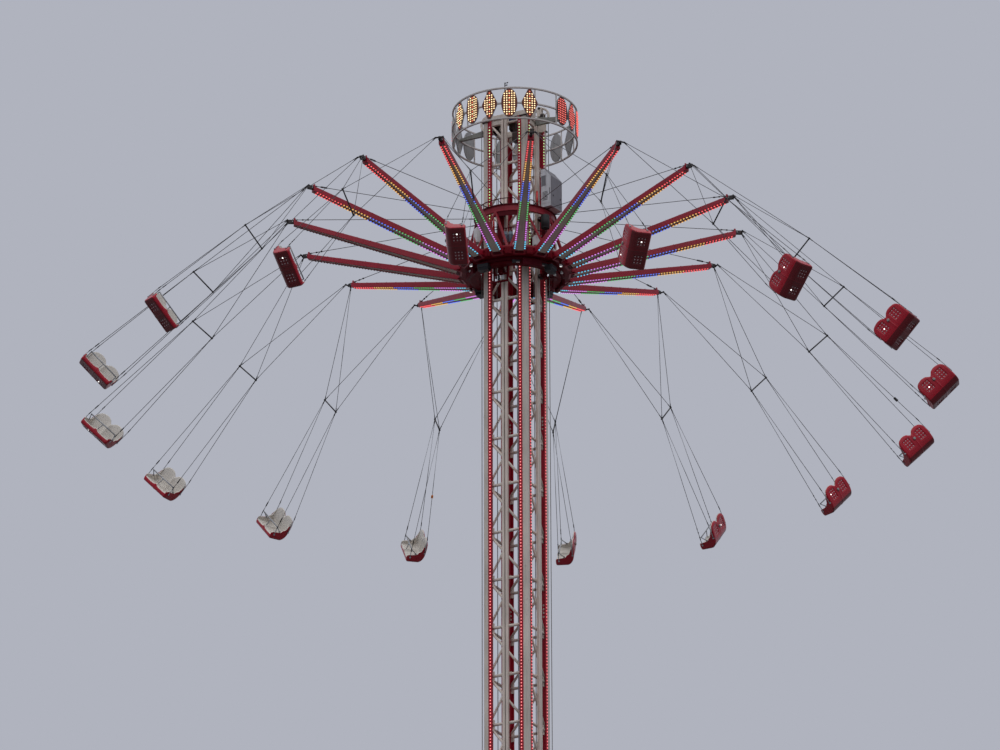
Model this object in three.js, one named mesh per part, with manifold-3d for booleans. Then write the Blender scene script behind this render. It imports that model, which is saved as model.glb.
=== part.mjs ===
// Chair swing tower ride at half size: a lattice tower, a carriage that climbs it, a slewing
// rotor of tapered arms, and double seats on ropes, each hung between two neighbouring arm tips.
// Millimetres, +Z up, origin in the middle of the base plate's underside.

import * as THREE from "three";
import { mergeVertices } from "three/addons/utils/BufferGeometryUtils.js";
import Module from "manifold-3d";

const wasm = await Module();
wasm.setup();

// Clearance between pieces that touch.
const GAP = 0.3;

// Tower: a square lattice mast.
const TOWER_HALF = 365;
const CHORD = 100;
const BOARD_WIDTH = 65;
const BOARD_THICK = 14;
const CHORD_TOP = 32086;
const PLATE_HALF = 620;
const PLATE_THICK = 40;

// Lattice: one level and one falling diagonal a bay.
const BAY = 750;
const FIRST_LEVEL = 586;
const LAST_LEVEL_INDEX = 41;
const LACE_DEPTH = 50;
const LEVEL_HEIGHT = 46;
const DIAGONAL_WIDTH = 40;
const DIAGONAL_DROP = 45;

// Guide rail in the middle of a face, grooved on the outside. The -X face has none.
const RAIL_HALF = 48;
const RAIL_DEPTH = 44;
const GROOVE_HALF = 12;
const GROOVE_DEPTH = 26;

// Ladder inside the tower.
const LADDER_LOW_X = 22;
const LADDER_HIGH_X = 222;
const STILE = 24;
const LADDER_THICK = 20;
const LADDER_STEP = 4 * BAY;
const LADDER_FRAMES = 10;

// Hoist ropes, each one closed loop round a head sheave and a foot sheave.
const SHEAVE_X = 415;
const SHEAVE_SIDE = 60;
const SHEAVE_RADIUS = 123.5;
const SHEAVE_HALF = 12;
const HEAD_SHEAVE_Z = 32200;
const FOOT_SHEAVE_Z = 230;
const ROPE_THICK = 12;
const AXLE_RADIUS = 20;
const CHEEK_HALF = 70;
const CHEEK_INNER = 20;
const CHEEK_OUTER = 32;

// Frame on the tower's head, which carries the head sheaves and the sensor mast.
const HEAD_BEAM = 100;
const HEAD_HEIGHT = 80;
const MAST_HEIGHT = 560;
const MAST_X = -15;
const MAST_Y = -315;

// Gussets between the base plate and the corner posts.
const GUSSET_REACH = 500;
const GUSSET_TOP = 260;
const GUSSET_INSET = 40;
const GUSSET_THICK = 20;

// Sign ring round the tower's head. Its tall boards stand in groups of five and three on each
// half of the ring.
const SIGN_RADIUS = 962;
const SIGN_HOOPS = [31800, 32055, 32310];
const SIGN_TUBE = 26;
const SIGN_POSTS = 16;
const SIGN_POST = 16;
const OUTRIGGER_HALF = 20;
const OUTRIGGER_LOW = 32030;
const OUTRIGGER_ROOT = 130;
const OUTRIGGER_END = 40;
const SIGN_SEGMENTS = 32;
const BOARD_AZIMUTHS = [-124.2, -105.7, -87.2, -68.7, -50.2, -15.7, 0.3, 16.3];
const BOARD_HALF = 125;
const BOARD_HALF_HEIGHT = 240;
const BOARD_BLUNT = 22;
const BOARD_NEAR = SIGN_RADIUS - 7;
const BOARD_FAR = SIGN_RADIUS + 15;

// Rotor: the plane of the arm tips, and the arms' first azimuth.
const TIP_Z = 30400;
const TIP_RADIUS = 3500;
const ARMS = 16;
const ARM_STEP = (2 * Math.PI) / ARMS;
const HALF_STEP = ARM_STEP / 2;
const FIRST_ARM = THREE.MathUtils.degToRad(7.74);
const ROOT_RADIUS = 868;
const ROOT_DROP = 742;
const ARM_ROOT_WIDTH = 190;
const ARM_TIP_WIDTH = 90;
const ARM_ROOT_DEPTH = 110;
const ARM_TIP_DEPTH = 75;
const ARM_END_RADIUS = 3400;
const HUB_OUTER = 860;
const HUB_INNER = 700;
const HUB_HALF_HEIGHT = 60;
const HUB_Z = TIP_Z - ROOT_DROP;

// Cross bar at each arm tip, with an eye of the next swing at each of its ends.
const EYE_OFFSET = 60;
const EYE_SIZE = 24;
const CROSS_BAR = 24;

// Cage on the hub, its stay collar and the cabinet on its top ring.
const CAGE_LOW_RADIUS = 790;
const CAGE_TOP_RADIUS = 602;
const CAGE_TOP_Z = TIP_Z + 105;
const CAGE_TUBE = 40;
const CAGE_BAND = 110;
const COLLAR_WIDTH = 16;
const STAY_THICK = 10;
const STAY_END_RADIUS = 3405;
const CABINET_AZIMUTH = THREE.MathUtils.degToRad(-6);
const CABINET_INNER = 565;
const CABINET_OUTER = 750;
const CABINET_HEIGHT = 640;
const CABINET_HALF = 160;

// Carriage: a slewing collar, and a guide post with two rollers for each rail.
const COLLAR_INNER = 575;
const COLLAR_OUTER = 695;
const SEAT_LIP_OUTER = 730;
const BEARING_GAP = 0.5;
const POST_INNER = 470;
const POST_OUTER = 525;
const POST_HALF = 40;
const POST_TOP = TIP_Z + 90;
const ROLLER_RADIUS = 40;
const DRIVE_NEAR = 600;
const DRIVE_FAR = 760;
const DRIVE_FROM = -290;
const DRIVE_TO = -90;
const DRIVE_DROP = 160;

// Swings: flung outwards by SWING_ANGLE from the vertical, as at full speed.
const SWING_ANGLE = THREE.MathUtils.degToRad(44.5);
const SPREADER_DROP = 2010;
const SPREADER_HALF = 213;
const SPREADER_THICK = 30;
const SEAT_DROP = 4150;
const SEAT_HEIGHT = 400;
const SEAT_HALF_WIDTH = 280;
const SEAT_WALL = 20;
const SEAT_BACK = -159;
const SEAT_FRONT = 159;
const CAVITY_BACK = -110;
const CAVITY_FLOOR = 72;
const SWING_ROPE = 10;
const ROD = 16;

const COLOURS = {
  steel: [0.70, 0.68, 0.65],
  red: [0.55, 0.04, 0.07],
  rope: [0.30, 0.30, 0.31],
  black: [0.05, 0.05, 0.055],
  cabinet: [0.72, 0.74, 0.75],
  seat: [0.62, 0.03, 0.08],
};

const group = new THREE.Group();

function material(name) {
  const metal = name === "steel" || name === "rope" ? 0.6 : 0.1;
  return new THREE.MeshStandardMaterial({
    color: new THREE.Color(...COLOURS[name]),
    roughness: name === "seat" ? 0.25 : 0.5,
    metalness: metal,
  });
}

function addPiece(name, geometry, colour) {
  const mesh = new THREE.Mesh(geometry, material(colour));
  mesh.name = name;
  group.add(mesh);
  return mesh;
}

// Closed solids.

function solid(geometry) {
  const bare = geometry.clone();
  bare.deleteAttribute("normal");
  bare.deleteAttribute("uv");
  const merged = mergeVertices(bare, 1e-3);
  return new wasm.Manifold(new wasm.Mesh({
    numProp: 3,
    vertProperties: new Float32Array(merged.attributes.position.array),
    triVerts: new Uint32Array(merged.index.array),
  }));
}

function geometryOf(body) {
  const mesh = body.getMesh();
  const geometry = new THREE.BufferGeometry();
  geometry.setAttribute("position", new THREE.BufferAttribute(mesh.vertProperties, 3));
  geometry.setIndex(new THREE.BufferAttribute(mesh.triVerts, 1));
  return geometry;
}

function joined(geometries) {
  const bodies = geometries.map(solid);
  return geometryOf(bodies.reduce((sum, body) => sum.add(body)));
}

function cut(geometry, tools) {
  return geometryOf(tools.map(solid).reduce((left, tool) => left.subtract(tool), solid(geometry)));
}

// A box between two corners.
function box(x0, x1, y0, y1, z0, z1) {
  const geometry = new THREE.BoxGeometry(x1 - x0, y1 - y0, z1 - z0);
  return geometry.translate((x0 + x1) / 2, (y0 + y1) / 2, (z0 + z1) / 2);
}

// A square bar from one point to another, with two of its sides upright.
function bar(from, to, thick) {
  const a = new THREE.Vector3(...from);
  const b = new THREE.Vector3(...to);
  const geometry = new THREE.BoxGeometry(thick, thick, a.distanceTo(b));
  const along = b.clone().sub(a).normalize();
  const level = new THREE.Vector3(0, 0, 1).cross(along).normalize();
  const place = new THREE.Matrix4().makeBasis(level, along.clone().cross(level), along);
  return geometry.applyMatrix4(place.setPosition(a.add(b).multiplyScalar(0.5)));
}

function extruded(points, height) {
  const shape = new THREE.Shape(points.map(([x, y]) => new THREE.Vector2(x, y)));
  return new THREE.ExtrudeGeometry(shape, { depth: height, bevelEnabled: false });
}

// An extrusion whose outline lies in the XZ plane and which spans y0 to y1.
function uprightSlab(points, y0, y1) {
  const slab = extruded(points, y1 - y0);
  return slab.rotateX(Math.PI / 2).translate(0, y1, 0);
}

// An extrusion whose outline lies in the YZ plane and which spans x0 to x1.
function sideSlab(points, x0, x1) {
  const slab = extruded(points, x1 - x0);
  return slab.rotateX(Math.PI / 2).rotateZ(Math.PI / 2).translate(x0, 0, 0);
}

function arc(radius, from, to, steps) {
  return Array.from({ length: steps + 1 }, (_, i) => {
    const angle = from + ((to - from) * i) / steps;
    return [radius * Math.cos(angle), radius * Math.sin(angle)];
  });
}

// A square-section hoop about the Z axis.
function hoop(innerRadius, outerRadius, z0, z1, segments) {
  const profile = [
    [innerRadius, z0],
    [outerRadius, z0],
    [outerRadius, z1],
    [innerRadius, z1],
    [innerRadius, z0],
  ].map(([r, z]) => new THREE.Vector2(r, z));
  const lathe = new THREE.LatheGeometry(profile, segments);
  return lathe.rotateX(Math.PI / 2);
}

function turned(geometry, angle) {
  return geometry.rotateZ(angle);
}

// Polar point: radius, azimuth, height.
function polar(radius, angle, z) {
  return [radius * Math.cos(angle), radius * Math.sin(angle), z];
}

// Tower.

const INNER = TOWER_HALF - CHORD;
const BOARD_INNER = INNER - BOARD_WIDTH;
const BOARD_BACK = TOWER_HALF - BOARD_THICK;
const LACE_OUTER = BOARD_BACK - GAP;
const LACE_INNER = LACE_OUTER - LACE_DEPTH;

// Corner post with a light board along each of its two outer faces.
function cornerChord() {
  const outline = [
    [INNER, INNER],
    [BOARD_BACK, INNER],
    [BOARD_BACK, BOARD_INNER],
    [TOWER_HALF, BOARD_INNER],
    [TOWER_HALF, TOWER_HALF],
    [BOARD_INNER, TOWER_HALF],
    [BOARD_INNER, BOARD_BACK],
    [INNER, BOARD_BACK],
  ];
  const bottom = PLATE_THICK + GAP;
  return extruded(outline, CHORD_TOP - bottom).translate(0, 0, bottom);
}

// One face's lattice on the -Y side: a zigzag of levels and of diagonals that fall to the right.
function latticeFace(levels, topDiagonal) {
  const half = INNER - GAP;
  const slope = (BAY - 2 * DIAGONAL_DROP) / (2 * half);
  const rise = (DIAGONAL_WIDTH / 2) * Math.hypot(1, slope);
  const halfLevel = LEVEL_HEIGHT / 2;
  const meet = (halfLevel - (DIAGONAL_DROP - rise)) / slope;
  const left = [];
  const right = [];
  for (let i = 0; i < levels; i += 1) {
    const z = FIRST_LEVEL + BAY * i;
    const last = i === levels - 1 && !topDiagonal;
    left.push([-half, z - (i === 0 ? halfLevel : DIAGONAL_DROP + rise)]);
    left.push([-half, z + halfLevel]);
    if (i > 0) {
      right.push([-half + meet, z - halfLevel]);
    }
    right.push([half, z - halfLevel]);
    if (last) {
      left.push([half, z + halfLevel]);
    } else {
      left.push([half - meet, z + halfLevel]);
      right.push([half, z + DIAGONAL_DROP + rise]);
    }
  }
  if (topDiagonal) {
    const z = FIRST_LEVEL + BAY * levels - DIAGONAL_DROP;
    left.push([-half, z - rise]);
    left.push([-half, z + rise]);
  }
  const outline = [...left.reverse(), ...right];
  return uprightSlab(outline, -LACE_OUTER, -LACE_INNER);
}

function guideRail(top, bottom) {
  const out = TOWER_HALF - BOARD_THICK + RAIL_DEPTH;
  const outline = [
    [-RAIL_HALF, -BOARD_BACK],
    [-RAIL_HALF, -out],
    [-GROOVE_HALF, -out],
    [-GROOVE_HALF, -out + GROOVE_DEPTH],
    [GROOVE_HALF, -out + GROOVE_DEPTH],
    [GROOVE_HALF, -out],
    [RAIL_HALF, -out],
    [RAIL_HALF, -BOARD_BACK],
  ];
  return extruded(outline, top - bottom).translate(0, 0, bottom);
}

// Ladder frame with a rung at every LADDER_STEP and a bracket there to the +X face's level.
function ladder() {
  const bottom = PLATE_THICK + GAP;
  const half = LADDER_THICK / 2;
  const rungs = Array.from({ length: LADDER_FRAMES + 1 }, (_, i) => FIRST_LEVEL + LADDER_STEP * i);
  const top = rungs[LADDER_FRAMES] + STILE;
  return joined([
    box(LADDER_LOW_X, LADDER_LOW_X + STILE, -half, half, bottom, top),
    box(LADDER_HIGH_X - STILE, LADDER_HIGH_X, -half, half, bottom, top),
    ...rungs.map((z) => box(LADDER_LOW_X + 1, LACE_INNER - GAP, -half + 2, half - 2, z - 8, z + 8)),
  ]);
}

// One closed rope loop round the head sheave and the foot sheave.
function hoistRope() {
  const outer = SHEAVE_RADIUS + GAP + ROPE_THICK;
  const inner = SHEAVE_RADIUS + GAP;
  const steps = 8;
  const track = (radius) => [
    ...arc(radius, 0, Math.PI, steps).map(([x, z]) => new THREE.Vector2(SHEAVE_X + x, HEAD_SHEAVE_Z + z)),
    ...arc(radius, Math.PI, 2 * Math.PI, steps)
      .map(([x, z]) => new THREE.Vector2(SHEAVE_X + x, FOOT_SHEAVE_Z + z)),
  ];
  const shape = new THREE.Shape(track(outer));
  shape.holes.push(new THREE.Path(track(inner).reverse()));
  const loop = new THREE.ExtrudeGeometry(shape, { depth: ROPE_THICK, bevelEnabled: false });
  return loop.rotateX(Math.PI / 2).translate(0, SHEAVE_SIDE + ROPE_THICK / 2, 0);
}

// Sheave disc on its axle between two cheeks that run from cheekLow to cheekHigh.
function sheaveParts(z, cheekLow, cheekHigh) {
  const disc = new THREE.CylinderGeometry(SHEAVE_RADIUS, SHEAVE_RADIUS, 2 * SHEAVE_HALF, 16);
  const axle = new THREE.CylinderGeometry(AXLE_RADIUS, AXLE_RADIUS, 2 * CHEEK_OUTER, 8);
  return [
    disc.translate(SHEAVE_X, SHEAVE_SIDE, z),
    axle.translate(SHEAVE_X, SHEAVE_SIDE, z),
    ...[-1, 1].map((side) => {
      const near = SHEAVE_SIDE + side * CHEEK_INNER;
      const far = SHEAVE_SIDE + side * CHEEK_OUTER;
      return box(
        SHEAVE_X - CHEEK_HALF, SHEAVE_X + CHEEK_HALF,
        Math.min(near, far), Math.max(near, far),
        cheekLow, cheekHigh,
      );
    }),
  ];
}

function onBothSides(makeParts) {
  return [...makeParts(), ...makeParts().map((part) => turned(part, Math.PI))];
}

function towerHead() {
  const low = CHORD_TOP + GAP;
  const high = low + HEAD_HEIGHT;
  const hole = TOWER_HALF - HEAD_BEAM;
  // A slot on each sheave side lets the sheave's rim and the rope's inner run down inside.
  const slot = () => [
    box(
      hole - 1, TOWER_HALF + 1,
      SHEAVE_SIDE - CHEEK_INNER, SHEAVE_SIDE + CHEEK_INNER,
      low - 1, high + 1,
    ),
  ];
  const frame = cut(
    box(-TOWER_HALF, TOWER_HALF, -TOWER_HALF, TOWER_HALF, low, high),
    [box(-hole, hole, -hole, hole, low - 1, high + 1), ...onBothSides(slot)],
  );
  const sheave = () => sheaveParts(HEAD_SHEAVE_Z, low, HEAD_SHEAVE_Z + 40);
  const mast = new THREE.CylinderGeometry(10, 14, MAST_HEIGHT, 6).rotateX(Math.PI / 2);
  mast.translate(MAST_X, MAST_Y, high - 10 + MAST_HEIGHT / 2);
  return joined([frame, ...onBothSides(sheave), mast]);
}

// Tall board for the sign ring: an oval, or a lozenge with blunt points.
function signBoard(isOval) {
  const lozenge = [
    [BOARD_HALF, -BOARD_BLUNT],
    [BOARD_HALF, BOARD_BLUNT],
    [BOARD_BLUNT, BOARD_HALF_HEIGHT],
    [-BOARD_BLUNT, BOARD_HALF_HEIGHT],
    [-BOARD_HALF, BOARD_BLUNT],
    [-BOARD_HALF, -BOARD_BLUNT],
    [-BOARD_BLUNT, -BOARD_HALF_HEIGHT],
    [BOARD_BLUNT, -BOARD_HALF_HEIGHT],
  ];
  const oval = arc(1, 0, 2 * Math.PI, 16).slice(1)
    .map(([y, z]) => [y * BOARD_HALF, z * BOARD_HALF_HEIGHT]);
  return sideSlab(isOval ? oval : lozenge, BOARD_NEAR, BOARD_FAR);
}

function signRing() {
  const half = SIGN_TUBE / 2;
  const postHalf = SIGN_POST / 2;
  const parts = SIGN_HOOPS.map((z) => {
    return hoop(SIGN_RADIUS - half, SIGN_RADIUS + half, z - half, z + half, SIGN_SEGMENTS);
  });
  for (let i = 0; i < SIGN_POSTS; i += 1) {
    parts.push(turned(
      box(
        SIGN_RADIUS - postHalf, SIGN_RADIUS + postHalf,
        -postHalf, postHalf,
        SIGN_HOOPS[0], SIGN_HOOPS[2],
      ),
      (2 * Math.PI * i) / SIGN_POSTS,
    ));
  }
  for (const halfTurn of [0, Math.PI]) {
    BOARD_AZIMUTHS.forEach((azimuth, i) => {
      const board = signBoard(i % 2 === 1).translate(0, 0, SIGN_HOOPS[1]);
      parts.push(turned(board, THREE.MathUtils.degToRad(azimuth) + halfTurn));
    });
  }
  // Tapered outriggers from the head frame's two sheave sides to the middle hoop.
  const outrigger = [
    [TOWER_HALF + GAP, OUTRIGGER_LOW],
    [SIGN_RADIUS, OUTRIGGER_LOW],
    [SIGN_RADIUS, OUTRIGGER_LOW + OUTRIGGER_END],
    [TOWER_HALF + GAP, OUTRIGGER_LOW + OUTRIGGER_ROOT],
  ];
  parts.push(...onBothSides(() => [uprightSlab(outrigger, -OUTRIGGER_HALF, OUTRIGGER_HALF)]));
  return joined(parts);
}

function basePlate() {
  const far = TOWER_HALF - GUSSET_INSET;
  const near = far - GUSSET_THICK;
  const low = PLATE_THICK - 1;
  const gusset = () => [
    box(TOWER_HALF + GAP, GUSSET_REACH, near, far, low, GUSSET_TOP),
    box(near, far, TOWER_HALF + GAP, GUSSET_REACH, low, GUSSET_TOP),
  ];
  const corners = [0, 1, 2, 3].flatMap((i) => gusset().map((part) => turned(part, (Math.PI / 2) * i)));
  const foot = () => sheaveParts(FOOT_SHEAVE_Z, low, FOOT_SHEAVE_Z + 50);
  return joined([
    box(-PLATE_HALF, PLATE_HALF, -PLATE_HALF, PLATE_HALF, 0, PLATE_THICK),
    ...corners,
    ...onBothSides(foot),
  ]);
}

// Carriage.

function carriageFrame() {
  const hubLow = HUB_Z - HUB_HALF_HEIGHT;
  const lipTop = hubLow - BEARING_GAP;
  const railFace = BOARD_BACK + RAIL_DEPTH;
  const rollerX = railFace + BEARING_GAP + ROLLER_RADIUS;
  const parts = [
    hoop(COLLAR_INNER, COLLAR_OUTER, hubLow - 90, HUB_Z + 40, 24),
    hoop(COLLAR_INNER + 10, SEAT_LIP_OUTER, lipTop - 50, lipTop, 24),
  ];
  for (let i = 0; i < 4; i += 1) {
    const angle = (Math.PI / 2) * i;
    const add = (geometry) => parts.push(turned(geometry, angle));
    // Slewing drive under the collar, one a side.
    add(box(DRIVE_NEAR, DRIVE_FAR, DRIVE_FROM, DRIVE_TO, hubLow - DRIVE_DROP, lipTop - 40));
    if (i === 2) {
      continue;
    }
    add(box(POST_INNER, POST_OUTER, -POST_HALF, POST_HALF, hubLow - 160, POST_TOP));
    add(box(POST_OUTER - 5, COLLAR_INNER + 30, -POST_HALF + 10, POST_HALF - 10, hubLow - 80, HUB_Z + 20));
    for (const z of [hubLow - 110, POST_TOP - 50]) {
      const roller = new THREE.CylinderGeometry(ROLLER_RADIUS, ROLLER_RADIUS, 2 * POST_HALF, 10);
      roller.rotateY(Math.PI / 10);
      add(roller.translate(rollerX, 0, z));
    }
  }
  return joined(parts);
}

// Rotor.

// Tapered box arm in its own radial plane, from the hub to its head.
function arm() {
  const slope = ROOT_DROP / (TIP_RADIUS - ROOT_RADIUS);
  const start = HUB_OUTER - 40;
  const length = ARM_END_RADIUS - start;
  const body = new THREE.BoxGeometry(length, 1, 1);
  const place = body.attributes.position;
  for (let i = 0; i < place.count; i += 1) {
    const share = place.getX(i) / length + 0.5;
    const radius = start + share * length;
    const width = THREE.MathUtils.lerp(ARM_ROOT_WIDTH, ARM_TIP_WIDTH, share);
    const depth = THREE.MathUtils.lerp(ARM_ROOT_DEPTH, ARM_TIP_DEPTH, share);
    const middle = HUB_Z + (radius - ROOT_RADIUS) * slope;
    place.setXYZ(i, radius, place.getY(i) * width, middle + place.getZ(i) * depth);
  }
  const head = box(ARM_END_RADIUS - 30, TIP_RADIUS - CROSS_BAR / 2 + 2, -22, 22, TIP_Z - 30, TIP_Z + 24);
  return [body, head, crossBar()];
}

// Cross bar whose ends lie square to the two neighbouring swings' hinges.
function crossBar() {
  const half = CROSS_BAR / 2;
  const end = (x) => EYE_OFFSET + (x * Math.sin(HALF_STEP) - half - 2 * GAP) / Math.cos(HALF_STEP);
  const outline = [
    [-half, -end(-half)],
    [half, -end(half)],
    [half, end(half)],
    [-half, end(-half)],
  ];
  return extruded(outline, CROSS_BAR).translate(TIP_RADIUS, 0, TIP_Z - half);
}

// A quarter of the hub ring with four arms.
function rotorQuarter(quarter) {
  const first = FIRST_ARM + quarter * (Math.PI / 2) - HALF_STEP;
  const slack = GAP / 2 / HUB_INNER;
  const outline = [
    ...arc(HUB_OUTER, first + slack, first + Math.PI / 2 - slack, 8),
    ...arc(HUB_INNER, first + Math.PI / 2 - slack, first + slack, 8),
  ];
  const ring = extruded(outline, 2 * HUB_HALF_HEIGHT).translate(0, 0, HUB_Z - HUB_HALF_HEIGHT);
  const arms = [0, 1, 2, 3].flatMap((i) => {
    const angle = FIRST_ARM + (quarter * 4 + i) * ARM_STEP;
    return arm().map((part) => turned(part, angle));
  });
  return joined([ring, ...arms]);
}

function rotorCage() {
  const half = CAGE_TUBE / 2;
  const low = HUB_Z + HUB_HALF_HEIGHT + GAP;
  const parts = [
    turned(hoop(CAGE_LOW_RADIUS - half, CAGE_LOW_RADIUS + half, low, low + CAGE_TUBE, 16), FIRST_ARM),
    turned(
      hoop(
        CAGE_TOP_RADIUS - half, CAGE_TOP_RADIUS + half,
        CAGE_TOP_Z + half - CAGE_BAND, CAGE_TOP_Z + half,
        16,
      ),
      FIRST_ARM,
    ),
  ];
  for (let i = 0; i < 8; i += 1) {
    const foot = FIRST_ARM + (i + 0.25) * 2 * ARM_STEP;
    for (const side of [-1, 1]) {
      parts.push(bar(
        polar(CAGE_LOW_RADIUS, foot, low + half),
        polar(CAGE_TOP_RADIUS, foot + side * ARM_STEP, CAGE_TOP_Z - half),
        CAGE_TUBE - 8,
      ));
    }
  }
  return joined(parts);
}

// Stay ropes from a collar round the cage's top ring to every arm's head.
function stayRopes() {
  const inner = CAGE_TOP_RADIUS + CAGE_TUBE / 2 + GAP;
  const high = CAGE_TOP_Z + CAGE_TUBE / 2;
  const parts = [turned(hoop(inner, inner + COLLAR_WIDTH, high - COLLAR_WIDTH, high, 16), FIRST_ARM)];
  for (let i = 0; i < ARMS; i += 1) {
    const angle = FIRST_ARM + i * ARM_STEP;
    parts.push(bar(
      polar(inner + COLLAR_WIDTH / 2, angle, high - COLLAR_WIDTH / 2),
      polar(STAY_END_RADIUS, angle, TIP_Z + 24 + GAP + STAY_THICK / 2 + 0.2),
      STAY_THICK,
    ));
  }
  return joined(parts);
}

// Cabinet on the cage's top ring, with its outer top edge cut back.
function cabinet() {
  const low = CAGE_TOP_Z + CAGE_TUBE / 2 + GAP;
  const outline = [
    [CABINET_INNER, low],
    [CABINET_OUTER, low],
    [CABINET_OUTER, low + CABINET_HEIGHT - 140],
    [CABINET_OUTER - 110, low + CABINET_HEIGHT],
    [CABINET_INNER, low + CABINET_HEIGHT],
  ];
  return turned(uprightSlab(outline, -CABINET_HALF, CABINET_HALF), CABINET_AZIMUTH);
}

// Swings. Each is drawn hanging in its own frame: X outwards, Y along the hinge towards the
// riders' front, Z up, the hinge along Y through the origin. It is then flung and placed.

const HINGE_RADIUS = TIP_RADIUS * Math.cos(HALF_STEP) + EYE_OFFSET * Math.sin(HALF_STEP);
const EYE_Y = TIP_RADIUS * Math.sin(HALF_STEP) - EYE_OFFSET * Math.cos(HALF_STEP);
const SEAT_LOW = -SEAT_DROP - SEAT_HEIGHT / 2;

function placedSwing(geometry, index) {
  const angle = FIRST_ARM + HALF_STEP + index * ARM_STEP;
  return geometry
    .rotateY(-SWING_ANGLE)
    .translate(HINGE_RADIUS, 0, TIP_Z)
    .rotateZ(angle);
}

// Side outline of the double seat: front lip, low arm rest, a step up and the leaning back.
const SEAT_SIDE = [
  [-51, 0],
  [140, 0],
  [SEAT_FRONT, 20],
  [SEAT_FRONT, 120],
  [-9, 132],
  [-26, 170],
  [-88, 204],
  [-107, 376],
  [-121, SEAT_HEIGHT],
  [-140, SEAT_HEIGHT],
  [SEAT_BACK, 372],
  [SEAT_BACK, 240],
  [-146, 136],
  [-126, 68],
  [-94, 24],
];

// Upper outline of one half of the backrests, from the dip in the middle to the side.
const SEAT_HUMP = [
  [0, 330],
  [24, 344],
  [51, 379],
  [88, 397],
  [136, 402],
  [192, 394],
  [240, 370],
  [268, 328],
  [288, 272],
];

function seatShell() {
  const shell = sideSlab(SEAT_SIDE, -SEAT_HALF_WIDTH, SEAT_HALF_WIDTH);
  const over = SEAT_HEIGHT + 20;
  const cavity = sideSlab(
    [
      [CAVITY_BACK, CAVITY_FLOOR],
      [SEAT_FRONT + 20, CAVITY_FLOOR],
      [SEAT_FRONT + 20, over],
      [CAVITY_BACK - 11, over],
    ],
    -SEAT_HALF_WIDTH + SEAT_WALL,
    SEAT_HALF_WIDTH - SEAT_WALL,
  );
  const outside = (sign) => {
    const hump = SEAT_HUMP.map(([x, z]) => [sign * x, z]);
    const side = hump[hump.length - 1][0];
    return uprightSlab([...hump, [side, over], [0, over]], SEAT_BACK - 20, 0);
  };
  return cut(shell, [cavity, outside(1), outside(-1)]).translate(0, 0, SEAT_LOW);
}

function suspension() {
  const parts = [];
  const rodX = SEAT_HALF_WIDTH + GAP + ROD / 2;
  const bead = SPREADER_THICK / 2;
  const reach = SPREADER_HALF + 12;
  parts.push(box(-reach, reach, -bead, bead, -SPREADER_DROP - bead, -SPREADER_DROP + bead));
  for (const side of [-1, 1]) {
    const eye = EYE_SIZE / 2;
    const middle = side * EYE_Y;
    parts.push(box(-eye, eye, middle - eye, middle + eye, -eye, eye));
    for (const end of [-1, 1]) {
      parts.push(bar([end * 4, middle, 0], [end * SPREADER_HALF, 0, -SPREADER_DROP], SWING_ROPE));
    }
  }
  const rods = [
    { y: 102, top: 184, low: 72 },
    { y: -128, top: SEAT_HEIGHT + 8, low: 160 },
  ];
  for (const end of [-1, 1]) {
    for (const { y, top, low } of rods) {
      parts.push(bar(
        [end * SPREADER_HALF, 0, -SPREADER_DROP],
        [end * rodX, y, SEAT_LOW + top],
        SWING_ROPE,
      ));
      parts.push(box(
        end * rodX - ROD / 2, end * rodX + ROD / 2,
        y - ROD / 2, y + ROD / 2,
        SEAT_LOW + low, SEAT_LOW + top + 6,
      ));
    }
  }
  return joined(parts);
}

// The ride.

addPiece("base_plate", basePlate(), "steel");

for (let i = 0; i < 4; i += 1) {
  const angle = (Math.PI / 2) * i;
  const carriesSheave = i % 2 === 1;
  addPiece(`corner_chord_${i + 1}`, turned(cornerChord(), angle), "steel");
  addPiece(`lattice_face_${i + 1}`, turned(latticeFace(LAST_LEVEL_INDEX + 1, !carriesSheave), angle), "steel");
  if (i < 3) {
    const railTop = carriesSheave ? OUTRIGGER_LOW - 20 : CHORD_TOP - 10;
    const railLow = carriesSheave ? FOOT_SHEAVE_Z + 200 : PLATE_THICK + GAP;
    addPiece(`guide_rail_${i + 1}`, turned(guideRail(railTop, railLow), angle), "steel");
  }
}

addPiece("tower_ladder", ladder(), "steel");
addPiece("hoist_rope_right", hoistRope(), "rope");
addPiece("hoist_rope_left", turned(hoistRope(), Math.PI), "rope");
addPiece("tower_head", towerHead(), "steel");
addPiece("sign_ring", signRing(), "steel");

addPiece("carriage_frame", carriageFrame(), "red");

for (let quarter = 0; quarter < 4; quarter += 1) {
  addPiece(`rotor_arms_${quarter + 1}`, rotorQuarter(quarter), "red");
}
addPiece("rotor_cage", rotorCage(), "red");
addPiece("stay_ropes", stayRopes(), "rope");
addPiece("control_cabinet", cabinet(), "cabinet");

for (let i = 0; i < ARMS; i += 1) {
  const label = String(i + 1).padStart(2, "0");
  addPiece(`seat_${label}`, placedSwing(seatShell(), i), "seat");
  addPiece(`seat_ropes_${label}`, placedSwing(suspension(), i), "black");
}

export default group;
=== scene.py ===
import math

import bmesh
import bpy
from mathutils import Matrix, Vector
from mathutils.bvhtree import BVHTree


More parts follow.
